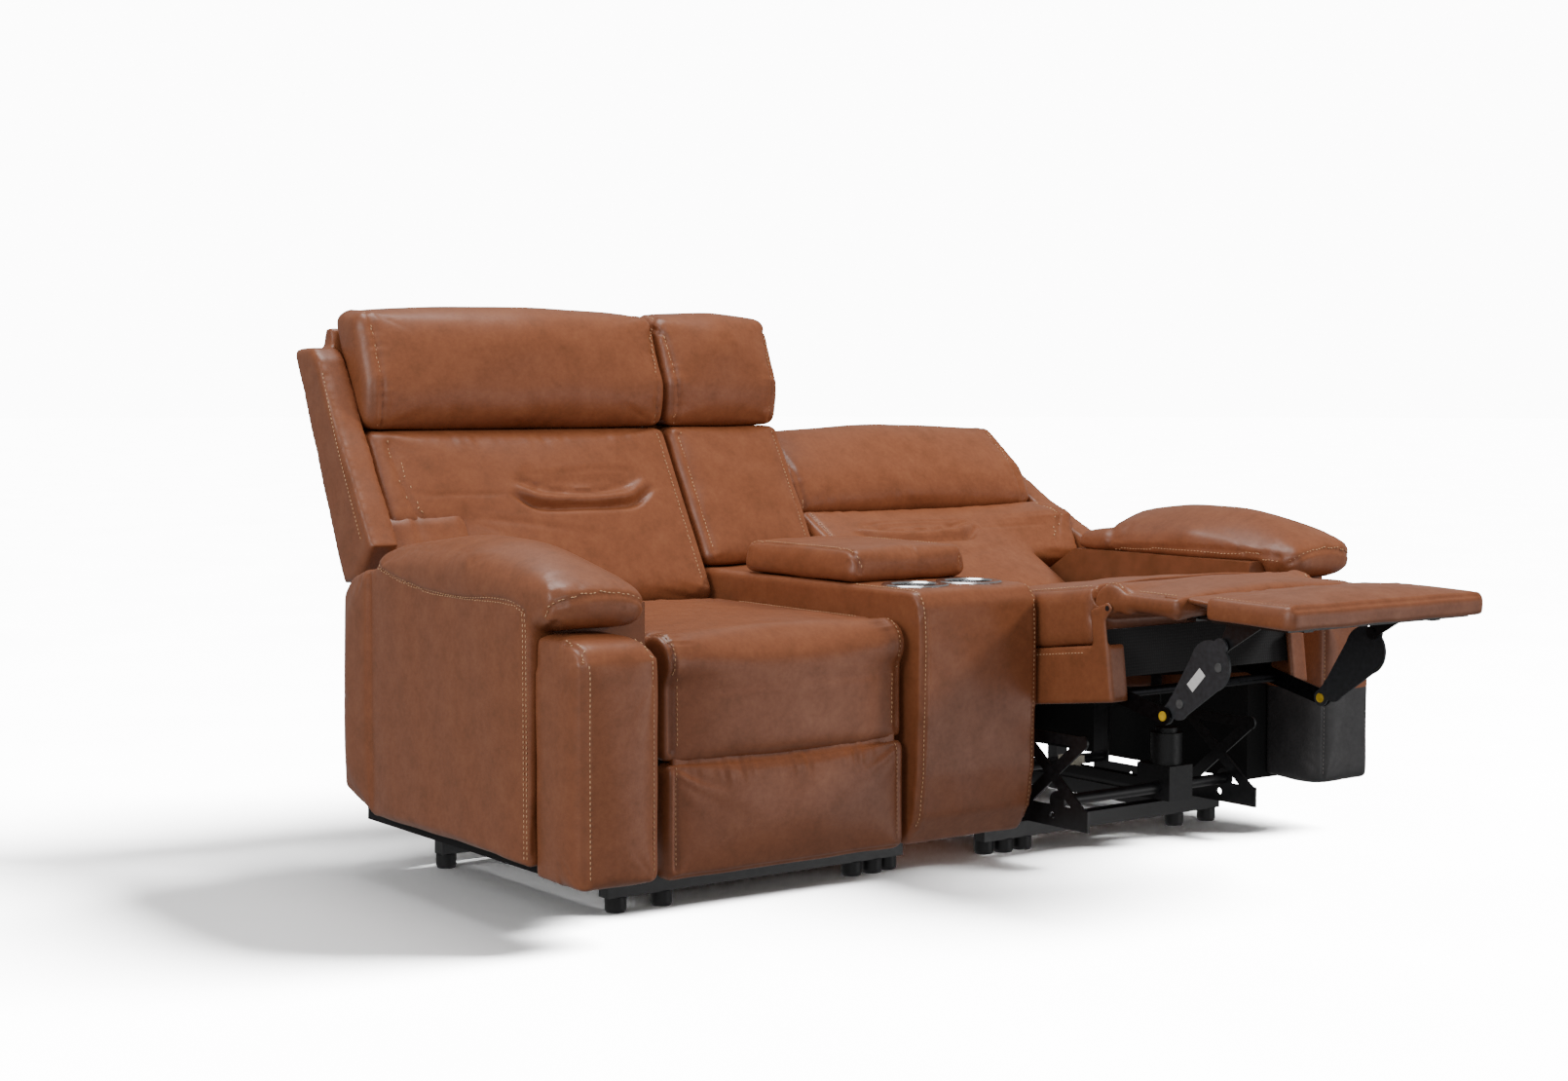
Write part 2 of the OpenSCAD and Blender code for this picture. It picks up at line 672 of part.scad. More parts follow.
module seat_box(s, g) {
    color([0.5, 0.3, 0.19]) on_pan(s, g) difference() {
        union() {
            box(seat_x0, seat_x0 + wall_t, return_y, box_rear, box_low, box_top);
            box(seat_x1 - wall_t, seat_x1, return_y, box_rear, box_low, box_top);
            box(seat_x0, seat_x0 + 44, return_y, return_y + 12, box_low, box_top);
            box(seat_x1 - 44, seat_x1, return_y, return_y + 12, box_low, box_top);
            box(seat_x0, seat_x1, panel_y + 10, box_rear, box_top - 14, box_top);
            for (x = [seat_x0, seat_x1 - steel_t]) {
                box(x, x + steel_t, return_y, return_y + 40, box_low, swing_z);
                slice(x, x + steel_t, [[swing_y, swing_z - 12], [return_y + 40, box_top - 20],
                    [return_y + 40, swing_z], [swing_y, swing_z + 12]]);
                rod(x, x + steel_t, swing_y, swing_z, 12);
            }
        }
        rod(seat_x0 - 1, seat_x0 + 7, swing_y, swing_z, pin_r + pin_fit);
        rod(seat_x1 - 7, seat_x1 + 1, swing_y, swing_z, pin_r + pin_fit);
        for (x = [plate_in + 6.5, plate_out - 6.5])
            box(x - 2.8, x + 2.8, box_rear - 80, box_rear + 1, box_low, box_top + 1);
    }
}

module seat_box_left() seat_box(-1, left_g);
module seat_box_right() seat_box(1, right_g);

module front_panel(s, g) {
    color([0.06, 0.06, 0.07]) on_pan(s, g)
        box(seat_x0 + wall_t + 0.1, seat_x1 - wall_t - 0.1, panel_y, panel_y + 9.9, swing_z - 128, swing_z - 39);
}

module front_panel_left() front_panel(-1, left_g);
module front_panel_right() front_panel(1, right_g);

module seat_cushion(s, g) {
    x0 = seat_x0 + 0.5;
    x1 = seat_x1 - 0.5;
    zt = seat_top - 16;
    color([0.58, 0.35, 0.23]) on_pan(s, g) difference() {
        hull() {
            for (x = [x0 + 24, x1 - 24]) {
                ball(x, swing_y + 34, zt - 24, 24);
                ball(x, pivot_y - 20, zt - 24, 24);
                ball(x, swing_y + 60, box_top + 20, 24);
                ball(x, pivot_y - 20, box_top + 20, 24);
            }
            translate([seat_mid, (swing_y + pivot_y) / 2 - 20, seat_top - 46])
                scale([0.88, 0.84, 0.184]) sphere(r = 250, $fn = 24);
        }
        rod(seat_x0 - 10, seat_x1 + 10, swing_y, swing_z, pad_t + 0.6);
        box(seat_x0 - 10, seat_x1 + 10, 100, panel_y + 10.3, 200, swing_z + 2);
        box(seat_x0 - 10, seat_x1 + 10, 100, 900, 200, box_top + 0.2);
        for (x = [plate_in, plate_out])
            box(x - 19, x + 19, box_rear - 64, 900, 200, pivot_z + 24);
        for (x = [seat_x0 - 1, seat_x1 - 6])
            box(x, x + 7, 100, return_y + 42, 200, swing_z + 14);
    }
}

module seat_cushion_left() seat_cushion(-1, left_g);
module seat_cushion_right() seat_cushion(1, right_g);

// footrest

pad_x0 = seat_x0 + steel_t + 0.5;
pad_x1 = seat_x1 - steel_t - 0.5;
guide_x = [seat_x0 + 96, seat_x1 - 96];

module chaise_frame(s, g, f) {
    color([0.1, 0.1, 0.11]) on_chaise(s, g, f) {
        rod(seat_x0 + 0.4, seat_x1 - 0.4, swing_y, swing_z, pin_r);
        box(pad_x0 + 20, pad_x1 - 20, swing_y, swing_y + 4, swing_z - chaise_len + 8, swing_z);
        for (x = guide_x) difference() {
            box(x - 18, x + 18, swing_y + 4, swing_y + 14, swing_z - chaise_len + 22, swing_z - chaise_len + 44);
            box(x - 12.3, x + 12.3, swing_y + 3.9, swing_y + 10.6, swing_z - chaise_len, swing_z);
        }
    }
}

module chaise_frame_left() chaise_frame(-1, left_g, left_f);
module chaise_frame_right() chaise_frame(1, right_g, right_f);

module chaise_pad(s, g, f) {
    z0 = swing_z - chaise_len;
    color([0.58, 0.35, 0.23]) on_chaise(s, g, f) difference() {
        union() {
            translate([pad_x0 + 10, swing_y, swing_z]) rotate([0, 90, 0])
                cylinder(r = pad_t, h = pad_x1 - pad_x0 - 20, $fn = 96);
            translate([pad_x0, swing_y, swing_z]) rotate([0, 90, 0])
                cylinder(r1 = pad_t - 6, r2 = pad_t, h = 10, $fn = 96);
            translate([pad_x1 - 10, swing_y, swing_z]) rotate([0, 90, 0])
                cylinder(r1 = pad_t, r2 = pad_t - 6, h = 10, $fn = 96);
            intersection() {
                box(pad_x0, pad_x1, seat_front, swing_y, z0, swing_z);
                translate([seat_mid, swing_y + 2000 - 2 * pad_t + 40, z0 - 1])
                    cylinder(r = 2000 - pad_t + 40, h = chaise_len + 2, $fn = 180);
            }
        }
        rod(pad_x0 - 1, pad_x1 + 1, swing_y, swing_z, pin_r);
        box(pad_x0 + 19.7, pad_x1 - 19.7, swing_y - 0.1, swing_y + 4.1, z0 - 1, swing_z + 6);
        box(pad_x0 - 1, pad_x1 + 1, swing_y + 4.1, swing_y + 60, z0, swing_z - 6);
        box(pad_x0 + 22, pad_x1 - 22, swing_y - 31, swing_y - 18, z0 - 1, z0 + rest_reach + 20);
        rod(pad_x0 - 1, pad_x1 + 1, seat_front, z0, 10);
    }
}

module chaise_pad_left() chaise_pad(-1, left_g, left_f);
module chaise_pad_right() chaise_pad(1, right_g, right_f);

otto_z1 = swing_z - chaise_len - 3;
otto_z0 = otto_z1 - ottoman_len;

module ottoman_frame(s, g, f) {
    color([0.1, 0.1, 0.11]) on_ottoman(s, g, f) {
        box(pad_x0 + 20, pad_x1 - 20, swing_y + 0.2, swing_y + 5, otto_z0 + 24, otto_z1 - 4);
        for (x = guide_x) box(x - 12, x + 12, swing_y + 5, swing_y + 10, otto_z0 + 40, otto_z1 + 106);
        for (k = [0, 1]) {
            x = k == 0 ? plate_in + 27 : plate_out - 31;
            slice(x, x + 4, [[swing_y + 5, otto_z1 - 90], [swing_y + 5, otto_z1 - 6],
                [link_c[0] - 8, link_c[1] + 8], [link_c[0] + 8, link_c[1] - 8]]);
            rod(x, x + 4, link_c[0], link_c[1], 13);
            q = k == 0 ? x + 4 : x - 2;
            rod(q, q + 2, link_c[0], link_c[1], 8);
        }
    }
}

module ottoman_frame_left() ottoman_frame(-1, left_g, left_f);
module ottoman_frame_right() ottoman_frame(1, right_g, right_f);

module ottoman_pad(s, g, f) {
    r = 17;
    color([0.58, 0.35, 0.23]) on_ottoman(s, g, f) {
        difference() {
            hull() {
                for (x = [pad_x0 + r, pad_x1 - r]) {
                    for (z = [otto_z0 + r, otto_z1 - r]) {
                        ball(x, seat_front + r + 4, z, r);
                        ball(x, swing_y - r + 14, z, r);
                    }
                }
                translate([seat_mid, swing_y - 22, (otto_z0 + otto_z1) / 2])
                    scale([1.1, 0.15, 0.4]) sphere(r = 200, $fn = 20);
            }
            box(pad_x0 - 50, pad_x1 + 50, swing_y, swing_y + 90, otto_z0 - 20, otto_z1 + 20);
        }
        box(pad_x0 + 26, pad_x1 - 26, swing_y - 30, swing_y - 19, otto_z1 - 30, otto_z1 + rest_reach + 16);
    }
}

module ottoman_pad_left() ottoman_pad(-1, left_g, left_f);
module ottoman_pad_right() ottoman_pad(1, right_g, right_f);

module rear_links(s, g, f) {
    color([0.12, 0.12, 0.13]) on_rear_link(s, g, f) {
        for (k = [0, 1]) {
            x = k == 0 ? plate_in + 10 : plate_out - 15;
            difference() {
                strap(x, x + 5, link_a, link_b, 30);
                rod(x - 1, x + 6, link_a[0], link_a[1], pin_r + pin_fit);
            }
            q = k == 0 ? x + 3 : x - 8;
            rod(q, q + 10, link_b[0], link_b[1], pin_r);
        }
        m = link_a + (link_b - link_a) * 0.42;
        rod(plate_in + 12, plate_out - 12, m[0], m[1], 9);
    }
}

module rear_links_left() rear_links(-1, left_g, left_f);
module rear_links_right() rear_links(1, right_g, right_f);

guard_r = 46;

module front_links(s, g, f) {
    color([0.15, 0.15, 0.16]) on_front_link(s, g, f) {
        for (k = [0, 1]) {
            x = k == 0 ? plate_in + 17 : plate_out - 22;
            difference() {
                union() {
                    strap(x, x + 5, link_b, link_c, 28);
                    d = (link_c - link_b) / norm(link_c - link_b);
                    n = [-d[1], d[0]];
                    teardrop(x, x + 5, link_b + d * 34 + n * 8, 24, link_c - d * 42 + n * 8, guard_r);
                }
                rod(x - 1, x + 6, link_b[0], link_b[1], pin_r + pin_fit);
            }
        }
    }
}

module front_links_left() front_links(-1, left_g, left_f);
module front_links_right() front_links(1, right_g, right_f);

// back

module back_frame(s, g) {
    color([0.1, 0.1, 0.11]) on_back(s, g) {
        for (k = [0, 1]) {
            x = k == 0 ? plate_in - 9 : plate_out + 4;
            difference() {
                union() {
                    slice(x, x + steel_t, [[pivot_y + 12, pivot_z - 14], [pivot_y + 84, 418.6], [pivot_y + 150, 418.6],
                        [pivot_y + 150, 419.7], [face_y(419.7) + back_pad_t + 6.7, 419.7],
                        [face_y(560) + back_pad_t + 6.7, 560], [face_y(560) + back_pad_t + 2, 560],
                        [face_y(470) + back_pad_t + 2, 470], [pivot_y - 10, pivot_z + 14]]);
                    rod(x, x + steel_t, pivot_y, pivot_z, 18);
                }
                rod(x - 1, x + steel_t + 1, pivot_y, pivot_z, pin_r + pin_fit);
            }
        }
    }
}

module back_frame_left() back_frame(-1, left_g);
module back_frame_right() back_frame(1, right_g);

module back_shell(s, g) {
    color([0.45, 0.27, 0.17]) on_back(s, g) difference() {
        union() {
            slice(seat_x0, seat_x1, back_profile(420));
            slice(seat_x0, wide_x1, back_profile(wide_low));
            slice(wide_x1 - 1, wing_x1, [[face_y(600) - 16, 602], [face_y(head_seam) + 4, head_seam],
                [face_y(head_seam) + 84, back_top - 102], [face_y(head_seam) + 112, back_top - 82],
                [rear_y(back_top - 90) - 14, back_top - 82], [rear_y(back_top - 90), back_top - 90],
                [rear_y(524), 524], [rear_y(524) - 60, 536]]);
        }
        box(seat_x0 - 1, wing_x1 - 45, 500, face_y(wide_low) + back_pad_t + 6.7, wide_low - 60, wide_low - 61);
    }
}

module back_shell_left() back_shell(-1, left_g);
module back_shell_right() back_shell(1, right_g);

module lumbar_cushion(s, g) {
    xn = seat_x1 - 1;
    xw = wide_x1 - 1.3;
    color([0.58, 0.35, 0.23]) on_back(s, g) difference() {
        union() {
            pad_form(seat_x0 + 0.5, xn, 462, head_seam - 1, back_pad_t, 13);
            pad_form(seat_x0 + 0.5, xw, wide_low + 2, head_seam - 1, back_pad_t, 4);
        }
        behind_pads(380);
        box(seat_x0 - 1, xw + 9, 500, 1400, head_seam - 1, head_seam + 80);
        // stitched pinch across the middle, a shallow curved groove
        translate([seat_mid - 14, face_y(680) - 8, 680]) rotate([61, 0, 0]) translate([0, 300, 0])
            rotate([0, 0, -120]) rotate_extrude(angle = 60, $fn = 180) translate([300, 0]) circle(r = 11, $fn = 32);
        for (x = [plate_in - 9, plate_out + 4]) box(x - 1, x + steel_t + 1, 600, 1000, 300, 562);
    }
}

module lumbar_cushion_left() lumbar_cushion(-1, left_g);
module lumbar_cushion_right() lumbar_cushion(1, right_g);

module head_cushion(s, g) {
    color([0.6, 0.37, 0.24]) on_back(s, g) difference() {
        head_form(seat_x0 + 0.5, wide_x1 - 1.3);
        shell_cut();
    }
}

module head_cushion_left() head_cushion(-1, left_g);
module head_cushion_right() head_cushion(1, right_g);

base_left();
base_right();
foot_pads();
arm_core_left();
arm_core_right();
arm_panel_left();
arm_panel_right();
arm_boot_left();
arm_boot_right();
arm_pad_left();
arm_pad_right();
console_body();
console_shell();
console_cushion();
console_headrest();
cup_holders();
console_lid();
power_inlet();
switch_plates();
rear_skirts();
button_out_left();
button_in_left();
button_out_right();
button_in_right();
carriage_left();
carriage_right();
motor_left();
motor_right();
drive_nut_left();
drive_nut_right();
support_links_left();
support_links_right();
pan_frame_left();
pan_frame_right();
seat_box_left();
seat_box_right();
front_panel_left();
front_panel_right();
seat_cushion_left();
seat_cushion_right();
chaise_frame_left();
chaise_frame_right();
chaise_pad_left();
chaise_pad_right();
ottoman_frame_left();
ottoman_frame_right();
ottoman_pad_left();
ottoman_pad_right();
rear_links_left();
rear_links_right();
front_links_left();
front_links_right();
back_frame_left();
back_frame_right();
back_shell_left();
back_shell_right();
lumbar_cushion_left();
lumbar_cushion_right();
head_cushion_left();
head_cushion_right();
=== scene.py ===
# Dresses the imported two-seat power recliner: leather, stitching, cloth, steel, floor, light and camera.
# Upholstered forms are made once, for a closed right-hand seat in millimetres, and then carried
# to the pose of each side.
import json
import math

import bmesh
import bpy
import numpy as np
from mathutils import Matrix, Vector
from mathutils.bvhtree import BVHTree

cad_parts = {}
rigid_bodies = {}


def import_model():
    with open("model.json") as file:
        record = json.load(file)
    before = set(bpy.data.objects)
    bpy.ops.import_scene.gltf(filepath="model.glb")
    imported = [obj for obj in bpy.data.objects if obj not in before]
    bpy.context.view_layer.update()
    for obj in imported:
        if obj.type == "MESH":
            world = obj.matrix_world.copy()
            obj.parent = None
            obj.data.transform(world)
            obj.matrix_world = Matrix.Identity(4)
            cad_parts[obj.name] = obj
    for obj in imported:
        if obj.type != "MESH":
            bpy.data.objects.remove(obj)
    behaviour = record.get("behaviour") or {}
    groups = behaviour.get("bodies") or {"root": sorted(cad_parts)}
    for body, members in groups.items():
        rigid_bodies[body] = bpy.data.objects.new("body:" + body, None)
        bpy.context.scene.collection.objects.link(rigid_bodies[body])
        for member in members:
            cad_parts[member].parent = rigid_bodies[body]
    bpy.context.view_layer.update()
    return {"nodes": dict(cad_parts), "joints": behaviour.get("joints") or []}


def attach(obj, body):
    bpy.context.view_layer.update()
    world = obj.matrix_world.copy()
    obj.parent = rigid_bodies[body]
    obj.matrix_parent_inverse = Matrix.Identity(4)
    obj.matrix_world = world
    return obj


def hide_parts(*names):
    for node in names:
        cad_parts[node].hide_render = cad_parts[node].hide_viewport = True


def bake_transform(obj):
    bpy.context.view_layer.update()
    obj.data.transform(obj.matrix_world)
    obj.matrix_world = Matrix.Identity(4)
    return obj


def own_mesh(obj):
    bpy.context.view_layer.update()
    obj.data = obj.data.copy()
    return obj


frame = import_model()
cadNodes = frame["nodes"]
joints = {joint["name"]: joint for joint in frame["joints"]}
print("frame loaded")

# the plan: closed right-hand seat, millimetres, front of the boots at Y 0
# the front plane of the back passes through faceY at the height faceZ and leans back by lean
plan = {"frontY": 332.0, "swingY": 203.0, "swingZ": 430.0, "seatX0": 149.0, "seatX": 415.0, "seatX1": 681.0,
        "consoleTop": 527.0, "faceY": 749.0, "faceZ": 458.0, "lean": 0.5537}

toPlan = Matrix(((-1000, 0, 0, 0), (0, 1000, 0, plan["frontY"]), (0, 0, 1000, 0), (0, 0, 0, 1)))
leftPlace = toPlan.inverted()
mirrorSide = Matrix.Diagonal((-1, 1, 1, 1))


def jointMove(name):
    # how one joint moves its child from closed to fully open
    joint = joints[name]
    axis = Vector(joint["axis"])
    if joint["type"] == "slide":
        return Matrix.Translation(axis * joint["range_m"][1])
    pivot = Matrix.Translation(Vector(joint["pos_m"]))
    turn = Matrix.Rotation(math.radians(joint["range_deg"][1]), 4, axis)
    return pivot @ turn @ pivot.inverted()


def openMove(body):
    # how a left-hand body moves from closed to fully open
    move = Matrix.Identity(4)
    while body != "frame":
        joint = next(j for j in joints.values() if j["child"] == body)
        move = jointMove(joint["name"]) @ move
        body = joint["parent"]
    return move


def placeFor(body, side):
    if side == "left":
        return leftPlace
    return mirrorSide @ (openMove(body + "_left") if body != "frame" else Matrix.Identity(4)) @ leftPlace


# materials

def linear(hexColour):
    values = [int(hexColour[i:i + 2], 16) / 255 for i in (1, 3, 5)]
    return tuple(v / 12.92 if v <= 0.04045 else ((v + 0.055) / 1.055) ** 2.4 for v in values) + (1.0,)


def addNode(tree, kind, settings=None, **links):
    # one node, its own settings, its socket values or the sockets that feed it
    node = tree.nodes.new(kind)
    for name, value in (settings or {}).items():
        setattr(node, name, value)
    for name, value in links.items():
        numbered = name[0] == "i" and name[1:].isdigit()
        socket = node.inputs[int(name[1:]) if numbered else name.replace("_", " ")]
        if isinstance(value, bpy.types.NodeSocket):
            tree.links.new(value, socket)
        else:
            socket.default_value = value
    return node


def newMaterial(name):
    # an empty material, its nodes and the coordinates that its patterns follow
    material = bpy.data.materials.new(name)
    material.use_nodes = True
    tree = material.node_tree
    tree.nodes.clear()
    return material, tree, addNode(tree, "ShaderNodeTexCoord").outputs["Object"]


def noiseNode(tree, where, sizeMm, detail, **more):
    noise = addNode(tree, "ShaderNodeTexNoise", Vector=where, Scale=1000 / sizeMm, Detail=detail, **more)
    return noise.outputs["Fac"]


def mathNode(tree, operation, *values):
    links = {f"i{place}": value for place, value in enumerate(values)}
    return addNode(tree, "ShaderNodeMath", {"operation": operation}, **links).outputs[0]


def mapNode(tree, value, low, high, start, end):
    return addNode(tree, "ShaderNodeMapRange", i0=value, i1=low, i2=high, i3=start, i4=end).outputs[0]


def bumpNode(tree, height, strength, depth, inverted=False, **more):
    bump = addNode(tree, "ShaderNodeBump", {"invert": inverted}, Strength=strength, Distance=depth, Height=height,
                   **more)
    return bump.outputs[0]


def rampNode(tree, factor, stops):
    ramp = addNode(tree, "ShaderNodeValToRGB", i0=factor)
    while len(ramp.color_ramp.elements) < len(stops):
        ramp.color_ramp.elements.new(0.5)
    for element, (position, colour) in zip(ramp.color_ramp.elements, stops):
        element.position = position
        element.color = linear(colour)
    return ramp.outputs[0]


def addSurface(tree, colour, rough, ior, normal, **more):
    shader = addNode(tree, "ShaderNodeBsdfPrincipled", Base_Color=colour, Roughness=rough, IOR=ior, Normal=normal,
                     **more)
    addNode(tree, "ShaderNodeOutputMaterial", Surface=shader.outputs[0])


leatherLook = {
    "dark": "#734326", "mid": "#844D30", "light": "#90593A", "roughness": (0.48, 0.36),
    "mottleMm": 42.0, "mottle": 0.55, "rubMm": 9.0, "rub": 0.45, "creaseMm": 28.0, "creaseDepth": 0.0012,
    "grainMm": 1.7, "grainDepth": 0.00016, "poreMm": 0.9, "poreDepth": 0.0001, "coat": 0.16, "coatRoughness": 0.34,
}
darkLook = {**leatherLook, "dark": "#2B2A2B", "mid": "#383738", "light": "#454344", "roughness": (0.56, 0.45)}


def makeLeather(name, look):
    # semi-aniline corrected cowhide: pebbled grain, a waxy satin top coat and cloudy aniline colour
    material, tree, where = newMaterial(name)
    cloud = noiseNode(tree, where, look["mottleMm"], 5.0, Roughness=0.62)
    rub = noiseNode(tree, where, look["rubMm"], 6.0, Roughness=0.7)
    rub = mathNode(tree, "MULTIPLY_ADD", rub, look["rub"], 0.0)
    mixed = mathNode(tree, "MULTIPLY_ADD", cloud, look["mottle"], rub)
    colour = rampNode(tree, mixed, [(0.3, look["dark"]), (0.5, look["mid"]), (0.72, look["light"])])
    grain = addNode(tree, "ShaderNodeTexVoronoi", {"feature": "F1"}, Vector=where, Scale=1000 / look["grainMm"],
                    Randomness=0.9)
    creases = noiseNode(tree, where, look["creaseMm"], 3.0, Distortion=0.6)
    pores = noiseNode(tree, where, look["poreMm"], 2.0)
    low = bumpNode(tree, creases, 0.35, look["creaseDepth"])
    middle = bumpNode(tree, grain.outputs["Distance"], 0.5, look["grainDepth"], inverted=True, Normal=low)
    fine = bumpNode(tree, pores, 0.25, look["poreDepth"], Normal=middle)
    rough = mapNode(tree, mixed, 0.3, 0.7, *look["roughness"])
    addSurface(tree, colour, rough, 1.48, fine, Coat_Weight=look["coat"], Coat_Roughness=look["coatRoughness"])
    return material


def makePlain(name, colours, roughness, grainMm, bumpMm, metallic=0.0, ior=1.5, coat=0.0):
    # base for small goods: two close tones, a little uneven gloss and a real surface height
    material, tree, where = newMaterial(name)
    tone = noiseNode(tree, where, grainMm * 14, 4.0)
    grain = noiseNode(tree, where, grainMm, 3.0, Roughness=0.6)
    colour = rampNode(tree, tone, [(0.35, colours[0]), (0.68, colours[1])])
    bump = bumpNode(tree, grain, 0.4, bumpMm / 1000)
    rough = mapNode(tree, tone, 0.3, 0.7, *roughness)
    addSurface(tree, colour, rough, ior, bump, Metallic=metallic, Coat_Weight=coat, Coat_Roughness=0.2)
    return material


def makeCloth(name, colours, threadMm, roughness):
    # plain woven cambric: two sets of threads that cross, dull, with a faint sheen at a low angle
    material, tree, where = newMaterial(name)
    warp, weft = (addNode(tree, "ShaderNodeTexWave", {"wave_type": "BANDS", "bands_direction": direction},
                          Vector=where, Scale=1000 / (threadMm * 20), Distortion=0.4, Detail=1.0).outputs["Fac"]
                  for direction in "XZ")
    threads = mathNode(tree, "MULTIPLY", warp, weft)
    dust = noiseNode(tree, where, 60, 5.0)
    tone = mathNode(tree, "MULTIPLY_ADD", dust, 0.5, threads)
    colour = rampNode(tree, tone, [(0.2, colours[0]), (0.9, colours[1])])
    bump = bumpNode(tree, threads, 0.5, 0.0004)
    addSurface(tree, colour, roughness, 1.45, bump, Sheen_Weight=0.25, Sheen_Roughness=0.5)
    return material


# full-grain cowhide, dyed brown, and its split, dyed charcoal
leather = makeLeather("satin cowhide leather", leatherLook)
darkLeather = makeLeather("charcoal split leather", darkLook)
# bonded nylon 6.6 thread
thread = makePlain("bonded nylon thread", ("#BE9068", "#D2A983"), (0.5, 0.62), 0.5, 0.05)
darkThread = makePlain("grey nylon thread", ("#6A6664", "#7C7875"), (0.5, 0.62), 0.5, 0.05)
# polyester cambric
blackCloth = makeCloth("woven cambric cloth", ("#0B0B0C", "#1C1B1C"), 0.9, 0.88)
# mild steel under epoxy powder, and mild steel with black oxide
paintedSteel = makePlain("powder coated steel", ("#0E0E10", "#19191B"), (0.34, 0.46), 0.7, 0.05, coat=0.15)
bluedSteel = makePlain("black oxide steel", ("#17171A", "#222226"), (0.3, 0.42), 0.6, 0.03, metallic=0.85)
# injection moulded polypropylene, uncoloured nylon 6 and two grey polyamides
blackPlastic = makePlain("moulded polypropylene", ("#0C0C0D", "#161618"), (0.42, 0.55), 0.5, 0.04, ior=1.49)
nutPlastic = makePlain("natural nylon", ("#D8D2BC", "#E6E1CF"), (0.4, 0.5), 0.6, 0.03, ior=1.53)
guardPlastic = makePlain("dark grey polyamide", ("#2A2C2F", "#34363A"), (0.45, 0.55), 0.6, 0.04, ior=1.53)
capPlastic = makePlain("grey polyamide cap", ("#4A4B4C", "#585959"), (0.5, 0.6), 0.6, 0.03, ior=1.53)
# stainless steel 304, and nickel plate on brass
chrome = makePlain("polished stainless steel", ("#C9CACC", "#DADBDD"), (0.16, 0.24), 0.8, 0.01, metallic=1.0)
buttonMetal = makePlain("satin nickel plate", ("#B8B8BC", "#C9C9CC"), (0.25, 0.34), 0.5, 0.01, metallic=1.0)
# coated paper, and acetal
paperLabel = makePlain("blank coated paper", ("#E9E9E7", "#F3F3F1"), (0.45, 0.55), 0.4, 0.01)
yellowAcetal = makePlain("yellow acetal washer", ("#C9A21E", "#DDB632"), (0.4, 0.5), 0.5, 0.02)
print("materials made")


# forms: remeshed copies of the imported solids, in plan millimetres

def addObject(name, data):
    made = bpy.data.objects.new(name, data)
    bpy.context.scene.collection.objects.link(made)
    return made


def newForm(name, mesh):
    # an object from a finished bmesh
    data = bpy.data.meshes.new(name)
    mesh.to_mesh(data)
    mesh.free()
    return addObject(name, data)


def voxelForm(name, nodeNames, shape):
    mesh = bmesh.new()
    for nodeName in nodeNames:
        mesh.from_mesh(cadNodes[nodeName].data)
    bmesh.ops.remove_doubles(mesh, verts=mesh.verts, dist=2e-5)
    bmesh.ops.transform(mesh, matrix=toPlan, verts=mesh.verts)
    bmesh.ops.reverse_faces(mesh, faces=mesh.faces)
    form = newForm(name, mesh)
    remesh = form.modifiers.new("remesh", "REMESH")
    remesh.mode = "VOXEL"
    remesh.voxel_size = shape["voxel"]
    smooth = form.modifiers.new("smooth", "SMOOTH")
    smooth.factor = 0.6
    smooth.iterations = shape["smoothing"]
    applyModifiers(form)
    return form


def applyModifiers(form):
    graph = bpy.context.evaluated_depsgraph_get()
    graph.update()
    result = bpy.data.meshes.new_from_object(form.evaluated_get(graph))
    form.modifiers.clear()
    old = form.data
    form.data = result
    bpy.data.meshes.remove(old)


def readPoints(form):
    points = np.zeros(len(form.data.vertices) * 3)
    form.data.vertices.foreach_get("co", points)
    return points.reshape(-1, 3)


def readNormals(form):
    normals = np.zeros(len(form.data.vertices) * 3)
    form.data.vertices.foreach_get("normal", normals)
    return normals.reshape(-1, 3)


def writePoints(form, points):
    form.data.vertices.foreach_set("co", points.ravel())
    form.data.update()


def surfaceTree(form):
    mesh = bmesh.new()
    mesh.from_mesh(form.data)
    tree = BVHTree.FromBMesh(mesh)
    mesh.free()
    return tree


def resample(points, step):
    corners = [Vector(p) for p in points]
    if len(corners) > 2:
        corners = smoothCorners(corners)
    result = [corners[0]]
    carry = 0.0
    for a, b in zip(corners[:-1], corners[1:]):
        length = (b - a).length
        place = step - carry
        while place < length:
            result.append(a.lerp(b, place / length))
            place += step
        carry = length - (place - step)
    return result


def smoothCorners(corners):
    # rounds a coarse route twice by cutting its corners
    for _ in range(2):
        cut = [corners[0]]
        for a, b in zip(corners[:-1], corners[1:]):
            cut += [a.lerp(b, 0.25), a.lerp(b, 0.75)]
        corners = cut + [corners[-1]]
    return corners


def routeOn(form, points, step=6.0):
    # a route laid on the surface: points and the surface normals there
    tree = surfaceTree(form)
    found = [tree.find_nearest(p) for p in resample(points, step)]
    return [(hit[0], hit[1]) for hit in found if hit[0] is not None]


def awayFrom(points, route):
    # distance of every point to a route, and how far along the route it lies
    nearest = np.full(len(points), 1e9)
    along = np.zeros(len(points))
    walked = 0.0
    for (a, _), (b, _) in zip(route[:-1], route[1:]):
        start, step = np.array(a), np.array(b) - np.array(a)
        length = max(float(np.linalg.norm(step)), 1e-6)
        close = np.abs(points - start).max(axis=1) < 90
        part = points[close] - start
        share = np.clip(part @ step / length ** 2, 0, 1)
        distance = np.linalg.norm(part - share[:, None] * step, axis=1)
        index = np.nonzero(close)[0]
        better = distance < nearest[index]
        nearest[index[better]] = distance[better]
        along[index[better]] = walked + share[better] * length
        walked += length
    return nearest, along, walked


